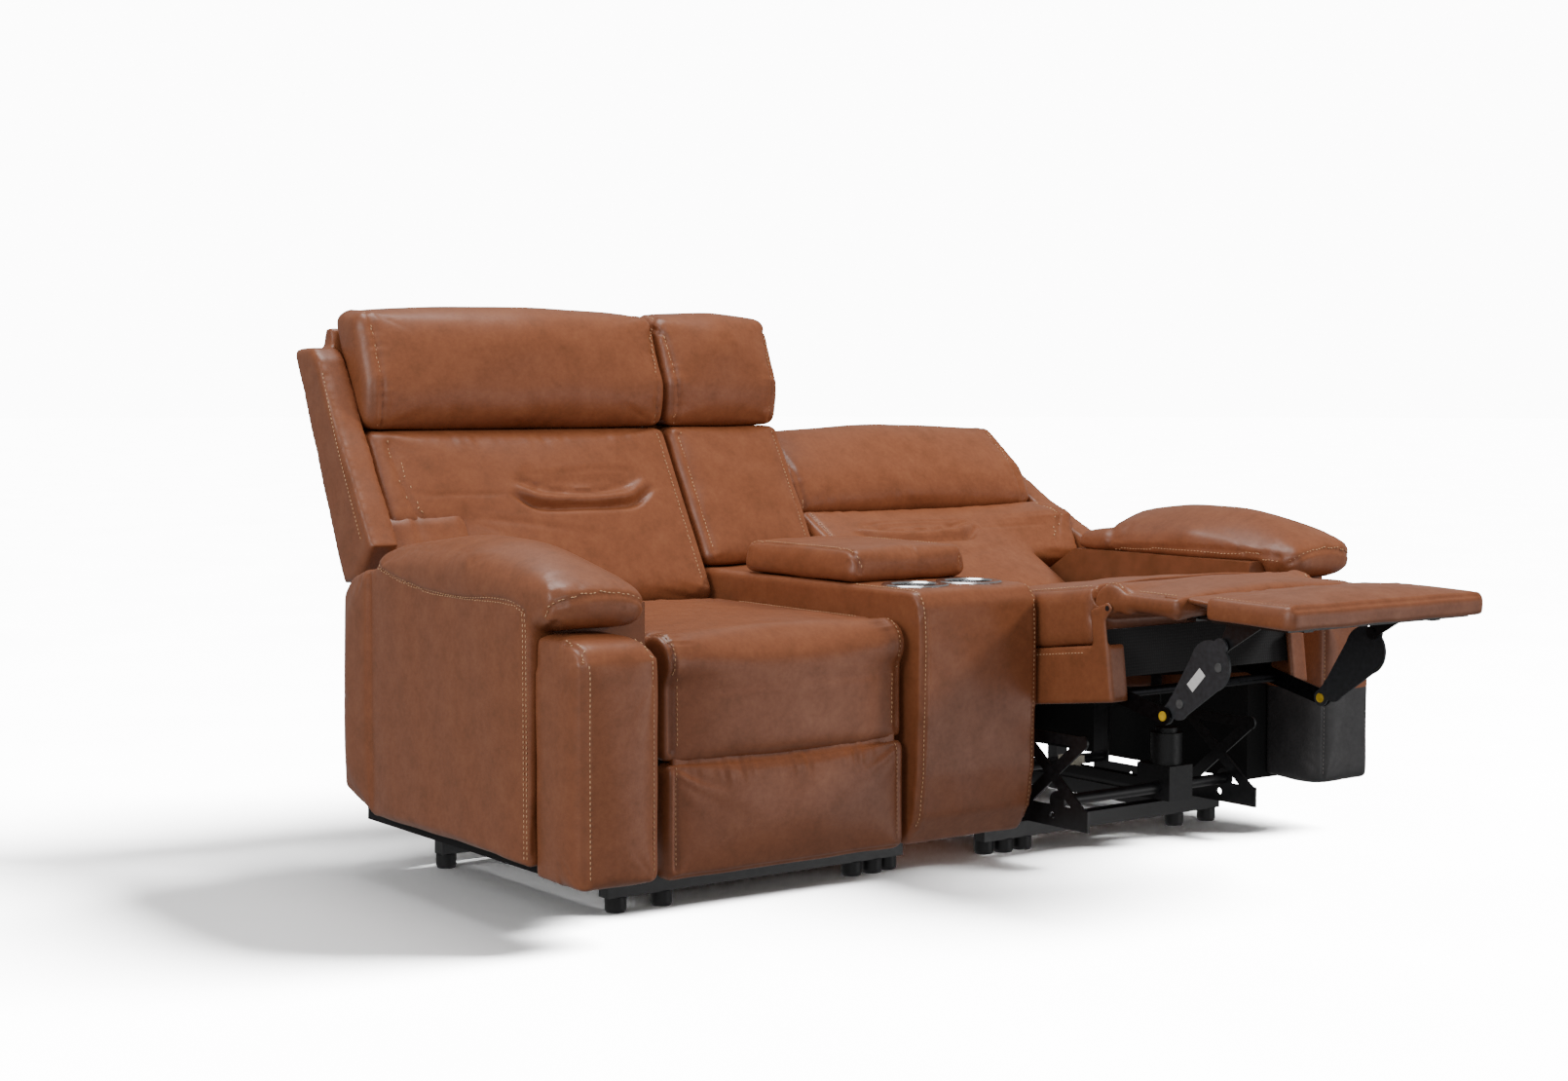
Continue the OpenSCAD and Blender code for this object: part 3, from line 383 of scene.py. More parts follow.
def pressSeam(form, points, depth, width, roll=0.0, fade=0.0):
    # sinks a narrow groove along a route, with a soft raised roll beside it
    route = routeOn(form, points)
    surface, normals = readPoints(form), readNormals(form)
    distance, along, length = awayFrom(surface, route)
    ends = np.ones(len(surface))
    if fade:
        ends = np.clip(np.minimum(along, length - along) / fade, 0, 1)
    groove = depth * np.exp(-(distance / width) ** 2)
    move = roll * np.exp(-((distance - width * 2.4) / (width * 1.4)) ** 2) - groove
    writePoints(form, surface + normals * (move * ends)[:, None])


def relax(form, chosen, rounds):
    # evens out the vertices of one area, the rest stays as it is
    surface = readPoints(form)
    ends = np.zeros(len(form.data.edges) * 2, dtype=np.int64)
    form.data.edges.foreach_get("vertices", ends)
    ends = ends.reshape(-1, 2)
    share = chosen(surface).astype(float)[:, None]
    count = np.bincount(ends.ravel(), minlength=len(surface))[:, None]
    for _ in range(rounds):
        total = np.zeros_like(surface)
        for axis in range(3):
            total[:, axis] = (np.bincount(ends[:, 0], surface[ends[:, 1], axis], len(surface))
                              + np.bincount(ends[:, 1], surface[ends[:, 0], axis], len(surface)))
        surface += (total / np.maximum(count, 1) - surface) * share * 0.6
    writePoints(form, surface)


def roundFront(form, centre, half, depth, reach, power=4):
    # draws the two upright front corners back, so that the front is round in plan
    surface = readPoints(form)
    across = np.clip(np.abs(surface[:, 0] - centre) / half, 0, 1.1) ** power
    near = np.clip((reach - surface[:, 1]) / reach, 0, 1.3)
    surface[:, 1] += depth * across * near
    writePoints(form, surface)


pinchShape = {"creaseAbove": 9.0, "creaseBelow": 7.0, "rollAt": 21.0, "rollWidth": 13.0, "hollowAt": 54.0,
              "hollowWidth": 21.0}


def foldUnder(form, points, depth, swell, hollow, fade):
    # a stitched pinch: a full roll above the line turns under at it, with a soft hollow above the roll
    route = routeOn(form, points)
    surface, normals = readPoints(form), readNormals(form)
    distance, along, length = awayFrom(surface, route)
    line = np.array([tuple(p[0]) for p in route])
    above = surface[:, 2] > np.interp(surface[:, 0], line[:, 0], line[:, 2])
    ends = np.clip(np.minimum(along, length - along) / fade, 0, 1) ** 0.7
    width = np.where(above, pinchShape["creaseAbove"], pinchShape["creaseBelow"])
    crease = -depth * np.exp(-(distance / width) ** 2)
    roll = swell * np.exp(-((distance - pinchShape["rollAt"]) / pinchShape["rollWidth"]) ** 2)
    roll -= hollow * np.exp(-((distance - pinchShape["hollowAt"]) / pinchShape["hollowWidth"]) ** 2)
    writePoints(form, surface + normals * ((crease + roll * above) * ends)[:, None])


def pucker(form, points, depth, pitch, reach, seed):
    # short creases that run out of a seam, where the leather is gathered
    route = routeOn(form, points)
    surface, normals = readPoints(form), readNormals(form)
    distance, along, length = awayFrom(surface, route)
    near = distance < reach * 3
    phase = along / pitch * math.tau
    wave = np.sin(phase + 1.7 * np.sin(phase * 0.31 + seed) + seed)
    wave += 0.5 * np.sin(phase * 1.9 + seed * 2.3 + distance * 0.05)
    uneven = 0.55 + 0.45 * np.sin(along / (pitch * 3.7) * math.tau + seed * 1.3)
    fall = np.exp(-(distance / reach) ** 2) * np.clip(np.minimum(along, length - along) / (pitch * 1.5), 0, 1)
    writePoints(form, surface + normals * (near * depth * wave * uneven * fall)[:, None])


def soften(form, depth, waveMm, seed, axes=(1, 1, 1)):
    # slow uneven swells, as foam and hide never lie quite flat
    surface, normals = readPoints(form), readNormals(form)
    total = np.zeros(len(surface))
    generator = np.random.default_rng(seed)
    for turn in range(5):
        direction = generator.normal(size=3) * axes
        direction /= np.linalg.norm(direction)
        phase = surface @ direction / (waveMm * (0.6 + 0.25 * turn)) * math.tau + generator.uniform(0, math.tau)
        total += np.sin(phase) / (1 + 0.5 * turn)
    writePoints(form, surface + normals * (total * depth / 2)[:, None])


def bulge(form, centre, size, depth):
    # swells or sinks a soft round area
    surface, normals = readPoints(form), readNormals(form)
    offset = (surface - np.array(centre)) / np.array(size)
    writePoints(form, surface + normals * (depth * np.exp(-(offset ** 2).sum(axis=1)))[:, None])


clothLook = {"pressure": 4.0, "frames": 20, "quality": 4, "mass": 0.3, "tension": 14.0, "bending": 0.4,
             "hold": 7.0, "levels": 5}


def fillWithAir(form, seams, heldBack, cap, spread=(0.25, 1.0, 1.0)):
    # cloth under pressure: seams and the hidden back are held, the hide between them swells and creases
    surface = readPoints(form)
    held = heldBack(surface).astype(float)
    for seam in seams:
        distance, _, _ = awayFrom(surface, routeOn(form, seam))
        held = np.maximum(held, np.exp(-(distance / clothLook["hold"]) ** 4))
    group = form.vertex_groups.new(name="held")
    for level in range(1, clothLook["levels"] + 1):
        chosen = np.nonzero(np.round(held * clothLook["levels"]) == level)[0]
        group.add([int(i) for i in chosen], level / clothLook["levels"], "REPLACE")
    writePoints(form, surface / 1000)
    cloth = form.modifiers.new("cloth", "CLOTH")
    settings = cloth.settings
    settings.quality = clothLook["quality"]
    settings.mass = clothLook["mass"]
    settings.tension_stiffness = settings.compression_stiffness = clothLook["tension"]
    settings.shear_stiffness = clothLook["tension"] / 2
    settings.bending_stiffness = clothLook["bending"]
    settings.use_pressure = True
    settings.uniform_pressure_force = clothLook["pressure"]
    settings.vertex_group_mass = "held"
    settings.effector_weights.gravity = 0.0
    cloth.collision_settings.use_collision = False
    cloth.point_cache.frame_start = 1
    cloth.point_cache.frame_end = clothLook["frames"]
    scene = bpy.context.scene
    for step in range(1, clothLook["frames"] + 1):
        scene.frame_set(step)
    graph = bpy.context.evaluated_depsgraph_get()
    swollen = form.evaluated_get(graph).to_mesh()
    result = np.zeros(len(surface) * 3)
    swollen.vertices.foreach_get("co", result)
    form.evaluated_get(graph).to_mesh_clear()
    form.modifiers.clear()
    form.vertex_groups.clear()
    scene.frame_set(1)
    move = (result.reshape(-1, 3) * 1000 - surface) * np.array(spread)
    far = np.linalg.norm(move, axis=1)
    print("swelled", form.name, len(surface), "mean", round(float(far.mean()), 1),
          "most", round(float(far.max()), 1))
    move *= (cap * np.tanh(far / cap) / np.maximum(far, 1e-6))[:, None]
    writePoints(form, surface + move)


# the real thread is about 1 mm thick; it is drawn twice as coarse, so that it shows in the render
stitchSize = {"pitch": 8.6, "length": 6.2, "radius": 1.05, "flat": 0.8, "lift": 0.5}


def stitchAlong(form, stitches, points, offset=0.0):
    # a row of thread beads beside a seam, laid on the surface
    tree = surfaceTree(form)
    route = routeOn(form, points, stitchSize["pitch"])
    for (a, normal), (b, _) in zip(route[:-1], route[1:]):
        run = b - a
        if run.length < 1 or run.length > stitchSize["pitch"] * 2:
            continue
        run.normalize()
        side = run.cross(normal).normalized()
        hit = tree.find_nearest(a + side * offset)
        if hit[0] is None:
            continue
        up = hit[1].normalized()
        run = (run - up * run.dot(up)).normalized()
        side = run.cross(up)
        turn = Matrix((run, side, up)).transposed().to_4x4()
        radius = stitchSize["radius"]
        shape = Matrix.Diagonal((stitchSize["length"] / 2, radius, radius * stitchSize["flat"], 1))
        place = Matrix.Translation(hit[0] + up * stitchSize["lift"])
        bmesh.ops.create_uvsphere(stitches, u_segments=6, v_segments=4, radius=1.0, matrix=place @ turn @ shape)


def finishForm(form, stitches):
    # joins the thread to its form as a second material
    mesh = bmesh.new()
    mesh.from_mesh(form.data)
    for face in mesh.faces:
        face.material_index = 0
    start = len(mesh.faces)
    if stitches is not None and len(stitches.verts):
        threadMesh = bpy.data.meshes.new("threads")
        stitches.to_mesh(threadMesh)
        mesh.from_mesh(threadMesh)
        bpy.data.meshes.remove(threadMesh)
        mesh.faces.ensure_lookup_table()
        for face in mesh.faces[start:]:
            face.material_index = 1
    if stitches is not None:
        stitches.free()
    for face in mesh.faces:
        face.smooth = True
    mesh.to_mesh(form.data)
    mesh.free()


def slabForm(name, shape):
    # a thin rounded slab of hide with enough faces to bend
    low, high = (Vector(shape[axis][end] for axis in "xyz") for end in (0, 1))
    radius = shape["radius"]
    mesh = bmesh.new()
    size = Matrix.Diagonal((*(high - low), 1))
    bmesh.ops.create_cube(mesh, size=1.0, matrix=Matrix.Translation((low + high) / 2) @ size)
    bmesh.ops.bevel(mesh, geom=mesh.edges[:], offset=radius, affect="EDGES", segments=3, profile=0.5, material=-1)
    for axis in (0, 2):
        span = (high - low)[axis] - 2 * radius
        long = [e for e in mesh.edges if abs(e.verts[0].co[axis] - e.verts[1].co[axis]) > span * 0.8]
        bmesh.ops.subdivide_edges(mesh, edges=long, cuts=max(2, int(span / shape["step"])), use_grid_fill=True)
    return newForm(name, mesh)


def dressPiece(form, name, matrix, materials, body, nodeNames, shape=None):
    # one finished piece from a form: placed, painted, and tied to its body and nodes
    data = form.data.copy()
    data.name = name
    piece = addObject(name, data)
    if shape:
        writePoints(piece, shape(readPoints(piece)))
    data.transform(matrix)
    if matrix.determinant() < 0:
        data.flip_normals()
    for material in materials:
        data.materials.append(material)
    data.update()
    if body:
        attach(piece, body)
    if nodeNames:
        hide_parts(*nodeNames)
    return piece


def dressBothSides(form, name, body, nodeNames, materials, shape=None, blended=False):
    made = []
    for side in ("left", "right"):
        rider = None if blended else body if body == "frame" else f"{body}_{side}"
        made.append(dressPiece(form, f"{name}_{side}", placeFor(body, side), materials,
                               rider, [f"{n}_{side}" for n in nodeNames],
                               shape=shape if side == "right" else None))
    dropForm(form)
    return made


def dropForm(form):
    data = form.data
    bpy.data.objects.remove(form)
    bpy.data.meshes.remove(data)


def faceY(z):
    # front plane of the closed back at a height
    return plan["faceY"] + (z - plan["faceZ"]) * plan["lean"]


def onFace(pairs, ahead):
    # a route in front of the closed back, from (x, z) pairs
    return [(x, faceY(z) - ahead, z) for x, z in pairs]


def atX(x, profile):
    # a route in one upright plane, from (y, z) pairs
    return [(x, y, z) for y, z in profile]


def behindFace(depth):
    # chooses what lies deeper in the back than its front plane
    return lambda p: p[:, 1] > faceY(p[:, 2]) + depth


def pressSeams(form, routes, groove):
    for route in routes:
        pressSeam(form, route, *groove)


def sewPair(form, stitches, routes, offset=5.0):
    # stitches two seams, each on the side that faces away from the other
    for route, aside in zip(routes, (offset, -offset)):
        stitchAlong(form, stitches, route, aside)


def sewnForm(name, nodeName, shape, seams, held, spread=(0.25, 1.0, 1.0)):
    # a form with two pressed seams, filled with air and stitched
    form = voxelForm(name, [nodeName], shape)
    stitches = bmesh.new()
    pressSeams(form, seams, shape["groove"])
    fillWithAir(form, seams, held, shape["swell"], spread)
    sewPair(form, stitches, seams)
    return form, stitches


leatherPair = (leather, thread)


# the crease between the two footrest pads hangs a little in the middle

creaseShape = {"half": 262.0, "level": 258.0, "reach": 46.0, "sag": 9.0, "rearY": 215.0, "fade": 20.0}


def sagCrease(form):
    surface = readPoints(form)
    across = 1 - ((surface[:, 0] - plan["seatX"]) / creaseShape["half"]) ** 2
    share = np.exp(-((surface[:, 2] - creaseShape["level"]) / creaseShape["reach"]) ** 2)
    share *= np.clip((creaseShape["rearY"] - surface[:, 1]) / creaseShape["fade"], 0, 1)
    surface[:, 2] -= creaseShape["sag"] * across * share
    writePoints(form, surface)


# seat cushion and inner footrest pad under one hide, which folds at the footrest hinge

seatShape = {
    "voxel": 5.5, "smoothing": 7, "swell": 9.0, "heldY": 182.0, "heldZ": 440.0,
    "foldStart": 244.0, "foldEnd": 202.0, "openFold": (246.0, 196.0), "foldZ": 478.0,
    "inset": 17.0, "groove": (4.5, 4.0, 0.8),
    "seam": ((650, 478), (520, 484), (400, 485), (300, 482), (240, 474), (203, 474), (170, 460), (157, 430),
             (156, 350), (156, 275)),
    "evenY": 250.0, "evenZ": 380.0, "evenHalf": 240.0, "evenRounds": 60,
    "sideFolds": ((300, 480), (235, 474), (190, 470), (160, 440)), "sideInset": 22.0, "sidePucker": (2.2, 19, 22),
    "rearFolds": ((170, 640, 478), (300, 660, 480), (415, 664, 480), (560, 660, 480), (665, 640, 478)),
    "rearPucker": (2.0, 38, 45, 4.0),
    "hollows": (((330, 450, 486), (95, 120, 60), 7.0), ((540, 430, 486), (90, 120, 60), 5.6)),
    "uneven": (1.0, 180, 3), "fill": 0.7,
}


def turnFootrest(points, share, reach=0.0):
    # plan points turned about the footrest hinge by a share of its travel each
    angle = np.radians(-joints["left_footrest"]["range_deg"][1]) * share
    y = points[:, 1] - plan["swingY"]
    z = points[:, 2] - plan["swingZ"] - reach
    turned = points.copy()
    turned[:, 1] = plan["swingY"] + y * np.cos(angle) - z * np.sin(angle)
    turned[:, 2] = plan["swingZ"] + y * np.sin(angle) + z * np.cos(angle)
    return turned


def foldSeat(points):
    # the front of the hide follows the footrest, the rear stays with the seat
    start, end = seatShape["foldStart"], seatShape["foldEnd"]
    return turnFootrest(points, np.clip((start - points[:, 1]) / (start - end), 0, 1))


def makeSeats():
    shape = seatShape
    form = voxelForm("seat form", ["seat_cushion_left", "chaise_pad_left"], shape)
    stitches = bmesh.new()
    sides = plan["seatX0"] + shape["inset"], plan["seatX1"] - shape["inset"]
    seams = [atX(x, shape["seam"]) for x in sides]
    pressSeams(form, seams, shape["groove"])
    relax(form, lambda p: (p[:, 1] < shape["evenY"]) & (p[:, 2] > shape["evenZ"])
          & (np.abs(p[:, 0] - plan["seatX"]) < shape["evenHalf"]), shape["evenRounds"])
    fillWithAir(form, seams, lambda p: (p[:, 2] < shape["heldZ"]) & (p[:, 1] > shape["heldY"]), shape["swell"])
    sewPair(form, stitches, seams, -5.0)
    for x, inward in zip(sides, (1, -1)):
        pucker(form, atX(x + inward * shape["sideInset"], shape["sideFolds"]), *shape["sidePucker"], 1.0 + x)
    for centre, size, depth in shape["hollows"]:
        bulge(form, centre, size, -depth)
    pucker(form, shape["rearFolds"], *shape["rearPucker"])
    soften(form, *shape["uneven"])
    sagCrease(form)
    finishForm(form, stitches)
    pieces = dressBothSides(form, "seat_cover", "seat", ["seat_cushion", "chaise_pad"], leatherPair,
                            blended=True, shape=foldSeat)
    for piece, side in zip(pieces, ("left", "right")):
        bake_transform(piece)
    print("seats covered")


# leather over the sides and front of the seat boxes

seatBoxShape = {"voxel": 4.0, "smoothing": 4, "seam": ((690, 356), (480, 356), (262, 356)), "groove": (2.2, 3.5),
                "fill": 0.3}


def makeSeatBoxes():
    shape = seatBoxShape
    form = voxelForm("seat box form", ["seat_box_left"], shape)
    stitches = bmesh.new()
    for x in (plan["seatX0"], plan["seatX1"]):
        route = atX(x, shape["seam"])
        pressSeam(form, route, *shape["groove"])
        stitchAlong(form, stitches, route, 5.0)
    finishForm(form, stitches)
    dressBothSides(form, "seat_box_cover", "seat", ["seat_box"], leatherPair)
    print("seat boxes covered")


# outer footrest pads

ottomanShape = {
    "voxel": 5.0, "smoothing": 6, "swell": 7.0, "heldY": 184.0, "inset": 22.0, "groove": (3.5, 4.0, 0.8),
    "seam": ((160, 250), (156, 200), (156, 120), (158, 72)),
    "band": ((168, 64), (166, 62)), "bandX": (300, 415, 560),
    "topFolds": ((170, 158, 246), (300, 156, 250), (415, 156, 250), (560, 156, 250), (660, 158, 246)),
    "topPucker": (1.6, 34, 24, 2.0), "uneven": (1.2, 140, 5), "fill": 0.7,
}


def makeOttomans():
    shape = ottomanShape
    form = voxelForm("ottoman form", ["ottoman_pad_left"], shape)
    stitches = bmesh.new()
    x0, x1 = plan["seatX0"] + shape["inset"], plan["seatX1"] - shape["inset"]
    sides = [atX(x, shape["seam"]) for x in (x0, x1)]
    corner, middle = shape["band"]
    band = [(x0, *corner), *((x, *middle) for x in shape["bandX"]), (x1, *corner)]
    pressSeams(form, (*sides, band), shape["groove"])
    fillWithAir(form, (*sides, band), lambda p: p[:, 1] > shape["heldY"], shape["swell"])
    sewPair(form, stitches, sides, -5.0)
    pucker(form, shape["topFolds"], *shape["topPucker"])
    soften(form, *shape["uneven"])
    sagCrease(form)
    finishForm(form, stitches)
    dressBothSides(form, "ottoman_cover", "ottoman", ["ottoman_pad"], leatherPair)
    print("ottomans covered")


# soft gusset that closes the gap between the two footrest pads

gussetShape = {"x": (171.0, 659.0), "y": (170.0, 185.0), "z": (246.0, 274.0), "radius": 4.0, "step": 5.0,
               "stretchTop": 268.0, "stretchRun": 16.0, "middleY": 178.0, "fill": 0.2}


def stretchGusset(points):
    # the lower edge goes out with the outer pad, the upper one stays with the inner pad
    reach = joints["left_footrest_reach"]["range_m"][1] * 1000
    share = np.clip((gussetShape["stretchTop"] - points[:, 2]) / gussetShape["stretchRun"], 0, 1)
    return turnFootrest(points, np.ones(len(points)), -reach * share)


def makeGussets():
    shape = gussetShape
    form = slabForm("gusset form", shape)
    finishForm(form, None)
    for side in ("left", "right"):
        place = placeFor("seat", side)
        stretch = stretchGusset if side == "right" else None
        piece = dressPiece(form, f"footrest_gusset_{side}", place, (leather,), None, [],
                           shape=stretch)
        top = shape["stretchTop"]
        ends = np.array([[plan["seatX"], shape["middleY"], z] for z in (top, top - shape["stretchRun"])])
        start, end = (place @ Vector(p) for p in (stretch(ends) if stretch else ends))
        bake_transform(piece)
    dropForm(form)
    print("gussets made")


# a flap continues the lumbar hide down behind the left arm, and is pushed up as the back reclines

flapShape = {"x": (670.0, 836.0), "y": (0.0, 13.0), "z": (556.0, 658.0), "radius": 2.5, "step": 8.0,
             "probes": 24, "probeY": 500.0, "levelZ": 668.0, "edgeX": 792.0, "edgeSlope": 0.2, "proud": 0.5,
             "tuck": 10.0, "tuckTop": 638.0, "tuckSide": 692.0, "tuckRun": 16.0,
             "keep": 0.12, "anchor": (760.0, 850.0, 637.0), "uneven": (0.8, 70, 31), "fill": 0.2}


def makeFlap(lumbar):
    shape = flapShape
    form = slabForm("flap form", shape)
    points = readPoints(form)
    tree = surfaceTree(lumbar)
    xs = np.linspace(*shape["x"], shape["probes"])
    fronts = []
    for x in xs:
        origin = Vector((min(x, shape["edgeX"]), shape["probeY"], shape["levelZ"]))
        hit = tree.ray_cast(origin, Vector((0, 1, 0)))
        fronts.append(hit[0].y - shape["proud"] + max(0.0, x - shape["edgeX"]) * shape["edgeSlope"])
    points[:, 1] += np.interp(points[:, 0], xs, fronts) + (points[:, 2] - shape["levelZ"]) * plan["lean"]
    # its top and inner edges are tucked behind the cushion
    behind = np.maximum(np.clip((points[:, 2] - shape["tuckTop"]) / shape["tuckRun"], 0, 1),
                        np.clip((shape["tuckSide"] - points[:, 0]) / shape["tuckRun"], 0, 1))
    points[:, 1] += shape["tuck"] * behind ** 1.5
    writePoints(form, points)
    soften(form, *shape["uneven"])
    finishForm(form, None)
    piece = dressPiece(form, "wing_flap_left", placeFor("back", "left"), (leather,), "back_left", [])
    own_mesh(piece)
    dropForm(form)


# lumbar cushions with the stitched pinch

lumbarShape = {
    "voxel": 6.0, "smoothing": 9, "swell": 9.0, "heldDepth": 30, "groove": (4.0, 4.5, 1.0),
    "outerSeam": ((796, 800), (790, 740), (780, 690), (770, 655)), "outerAhead": 30,
    "innerSeam": [(167, z) for z in (800, 740, 680, 620, 560, 500)], "innerAhead": 2,
    "pinch": ((226, 698), (255, 680), (285, 663), (330, 659), (409, 659), (480, 659), (515, 663), (540, 676),
              (566, 692)), "pinchAhead": 14,
    "pinchDepth": 15.0, "pinchRoll": 6.0, "pinchHollow": 7.0, "pinchFade": 50,
    "rays": (((232, 694, 20), (190, 704, 18)), ((566, 692, 20), (768, 697, 18))), "rayDepth": 1.4, "rayFade": 40,
    "topFolds": [(x, 800) for x in (165, 300, 420, 560, 700, 812)], "topPucker": (0.9, 48, 24, 3.0),
    "lowFolds": [(x, 500) for x in (170, 300, 420, 560, 670)], "lowPucker": (1.3, 60, 40, 6.0),
    "uneven": (1.0, 200, 7), "fill": 0.65,
    "fullSide": 34.0, "fullFront": 34.0, "fullDepth": 70, "fullFrom": 540, "fullRun": 250, "fullTop": 812,
    "fullLow": 645, "fullFade": 70, "pinchLift": 30.0, "pinchZ": 684, "pinchReach": 62,
}


def fullerLumbar(points):
    # the reclined cushion swells over the wing at its outer side
    shape, x, z = lumbarShape, points[:, 0], points[:, 2]
    share = np.clip((x - shape["fullFrom"]) / shape["fullRun"], 0, 1) ** 1.6
    share = share * np.clip((shape["fullTop"] - z) / shape["fullFade"], 0, 1) ** 0.7
    share = share * np.clip((z - shape["fullLow"]) / shape["fullFade"], 0, 1)
    front = np.clip((faceY(z) + shape["fullDepth"] - points[:, 1]) / shape["fullDepth"], 0, 1)
    moved = points.copy()
    moved[:, 0] += shape["fullSide"] * share * front
    moved[:, 1] -= shape["fullFront"] * share * front
    # and the pinch sits a little higher there
    lift = shape["pinchLift"] * front * np.exp(-((z - shape["pinchZ"]) / shape["pinchReach"]) ** 2)
    moved[:, 1] += lift * plan["lean"]
    moved[:, 2] += lift
    return moved


def makeLumbars():
    shape = lumbarShape
    form = voxelForm("lumbar form", ["lumbar_cushion_left"], shape)
    stitches = bmesh.new()
    seams = [onFace(shape["outerSeam"], shape["outerAhead"]), onFace(shape["innerSeam"], shape["innerAhead"])]
    pressSeams(form, seams, shape["groove"])
    fillWithAir(form, seams, behindFace(shape["heldDepth"]), shape["swell"])
    foldUnder(form, onFace(shape["pinch"], shape["pinchAhead"]), shape["pinchDepth"], shape["pinchRoll"],
              shape["pinchHollow"], shape["pinchFade"])
    for ray in shape["rays"]:
        pressSeam(form, [(x, faceY(z) - ahead, z) for x, z, ahead in ray], shape["rayDepth"], 4.0,
                  fade=shape["rayFade"])
    sewPair(form, stitches, seams)
    pucker(form, onFace(shape["topFolds"], 4), *shape["topPucker"])
    pucker(form, onFace(shape["lowFolds"], 6), *shape["lowPucker"])
    soften(form, *shape["uneven"])
    finishForm(form, stitches)
    makeFlap(form)
    dressBothSides(form, "lumbar_cover", "back", ["lumbar_cushion"], leatherPair,
                   shape=fullerLumbar)


# head cushions; the console headrest has the same seam

headSeam = ((946, 818), (930, 870), (965, 950), (1010, 1020), (1060, 1044))
headShape = {
    "voxel": 6.0, "smoothing": 9, "swell": 9.0, "heldDepth": 70, "groove": (4.0, 4.5, 1.0), "ends": (800, 172),
    "endPucker": (0.9, 26, 18), "lowFolds": [(x, 940, 822) for x in (180, 300, 420, 560, 700, 800)],
    "lowPucker": (1.0, 60, 26, 5.0), "belly": ((480, 925, 876), (420, 90, 44), 6.0), "uneven": (0.9, 190, 9),
    "fill": 0.7,
}


def makeHeads():
    shape = headShape
    seams = [atX(x, headSeam) for x in shape["ends"]]
    form, stitches = sewnForm("head form", "head_cushion_left", shape, seams, behindFace(shape["heldDepth"]))
    for seam, x in zip(seams, shape["ends"]):
        pucker(form, seam, *shape["endPucker"], x)
    pucker(form, shape["lowFolds"], *shape["lowPucker"])
    bulge(form, *shape["belly"])
    soften(form, *shape["uneven"])
    finishForm(form, stitches)
    dressBothSides(form, "head_cover", "back", ["head_cushion"], leatherPair)


# back shells with the wing at their outer side

shellShape = {"voxel": 7.0, "smoothing": 5, "wingX": 893, "wingHeights": (615, 700, 800), "wingTop": (1000, 930),
              "groove": (2.0, 4.0), "uneven": (1.0, 200, 11), "fill": 0.3}


def makeShells():
    shape = shellShape
    form = voxelForm("shell form", ["back_shell_left"], shape)
    stitches = bmesh.new()
    wing = onFace([(shape["wingX"], z) for z in shape["wingHeights"]], -4) + [(shape["wingX"], *shape["wingTop"])]
    pressSeam(form, [(x - 4, y + 6, z) for x, y, z in wing], *shape["groove"])
    stitchAlong(form, stitches, [(x + 3, y + 14, z) for x, y, z in wing])
    soften(form, *shape["uneven"])
    finishForm(form, stitches)
    dressBothSides(form, "back_shell_cover", "back", ["back_shell"], leatherPair)
    print("backs covered")


# arms: outer panel and padded top under one hide

armShape = {
    "voxel": 6.0, "smoothing": 9, "swell": 6.0, "spread": (0.8, 1.0, 1.0), "noseX": 850.0, "noseHalf": 110.0,
    "noseDepth": 30.0, "noseReach": 110.0, "evenY": 120, "evenX": 950, "evenRounds": 25,
    "crown": ((840, 230, 590), (90, 180, 60), 7.0), "heldX": 905, "heldZ": 530,
    "topSeam": [(960, y, z) for y, z in ((657, 577), (560, 557), (464, 546), (351, 543), (234, 550), (175, 546),
                                         (141, 533))],
    "frontSeam": [(960, 151, z) for z in (530, 420, 260, 125)],
    "rearSeam": [(960, 690, z) for z in (560, 400, 250, 125)],
    "noseSeam": [(966, 80, 534), (946, 76, 552), (913, 76, 559), (833, 76, 557), (777, 80, 539)],
    "innerSeam": [(744, 538, 548), (744, 436, 556), (744, 242, 560), (748, 90, 556)],
    "rearFolds": [(880, 640, 600), (820, 640, 590), (760, 600, 580)], "rearPucker": (2.0, 24, 30, 2.0),
    "nosePucker": (0.6, 36, 24, 4.0), "uneven": (0.9, 200, 13), "fill": 0.6,
}


def makeArms():
    shape = armShape
    form = voxelForm("arm form", ["arm_panel_left", "arm_pad_left"], shape)
    stitches = bmesh.new()
    grooves = {"topSeam": 4.0, "frontSeam": 1.2, "rearSeam": 3.0, "noseSeam": 2.5, "innerSeam": 3.0}
    roundFront(form, shape["noseX"], shape["noseHalf"], shape["noseDepth"], shape["noseReach"])
    relax(form, lambda p: (p[:, 1] < shape["evenY"]) & (p[:, 0] < shape["evenX"]), shape["evenRounds"])
    bulge(form, *shape["crown"])
    for seam, depth in grooves.items():
        pressSeam(form, shape[seam], depth, 4.0, roll=0.8)
    fillWithAir(form, [shape[seam] for seam in grooves],
                lambda p: (p[:, 0] < shape["heldX"]) & (p[:, 2] < shape["heldZ"]), shape["swell"], shape["spread"])
    pucker(form, shape["rearFolds"], *shape["rearPucker"])
    pucker(form, shape["noseSeam"], *shape["nosePucker"])
    for seam, offsets in (("topSeam", (-4.0, 4.0)), ("frontSeam", (-3.5, 3.5)), ("noseSeam", (5.0,)),
                          ("innerSeam", (5.0,))):
        for offset in offsets:
            stitchAlong(form, stitches, shape[seam], offset)
    soften(form, *shape["uneven"])
    finishForm(form, stitches)
    dressBothSides(form, "arm_cover", "frame", ["arm_panel", "arm_pad"], leatherPair)


# front boots of the arms

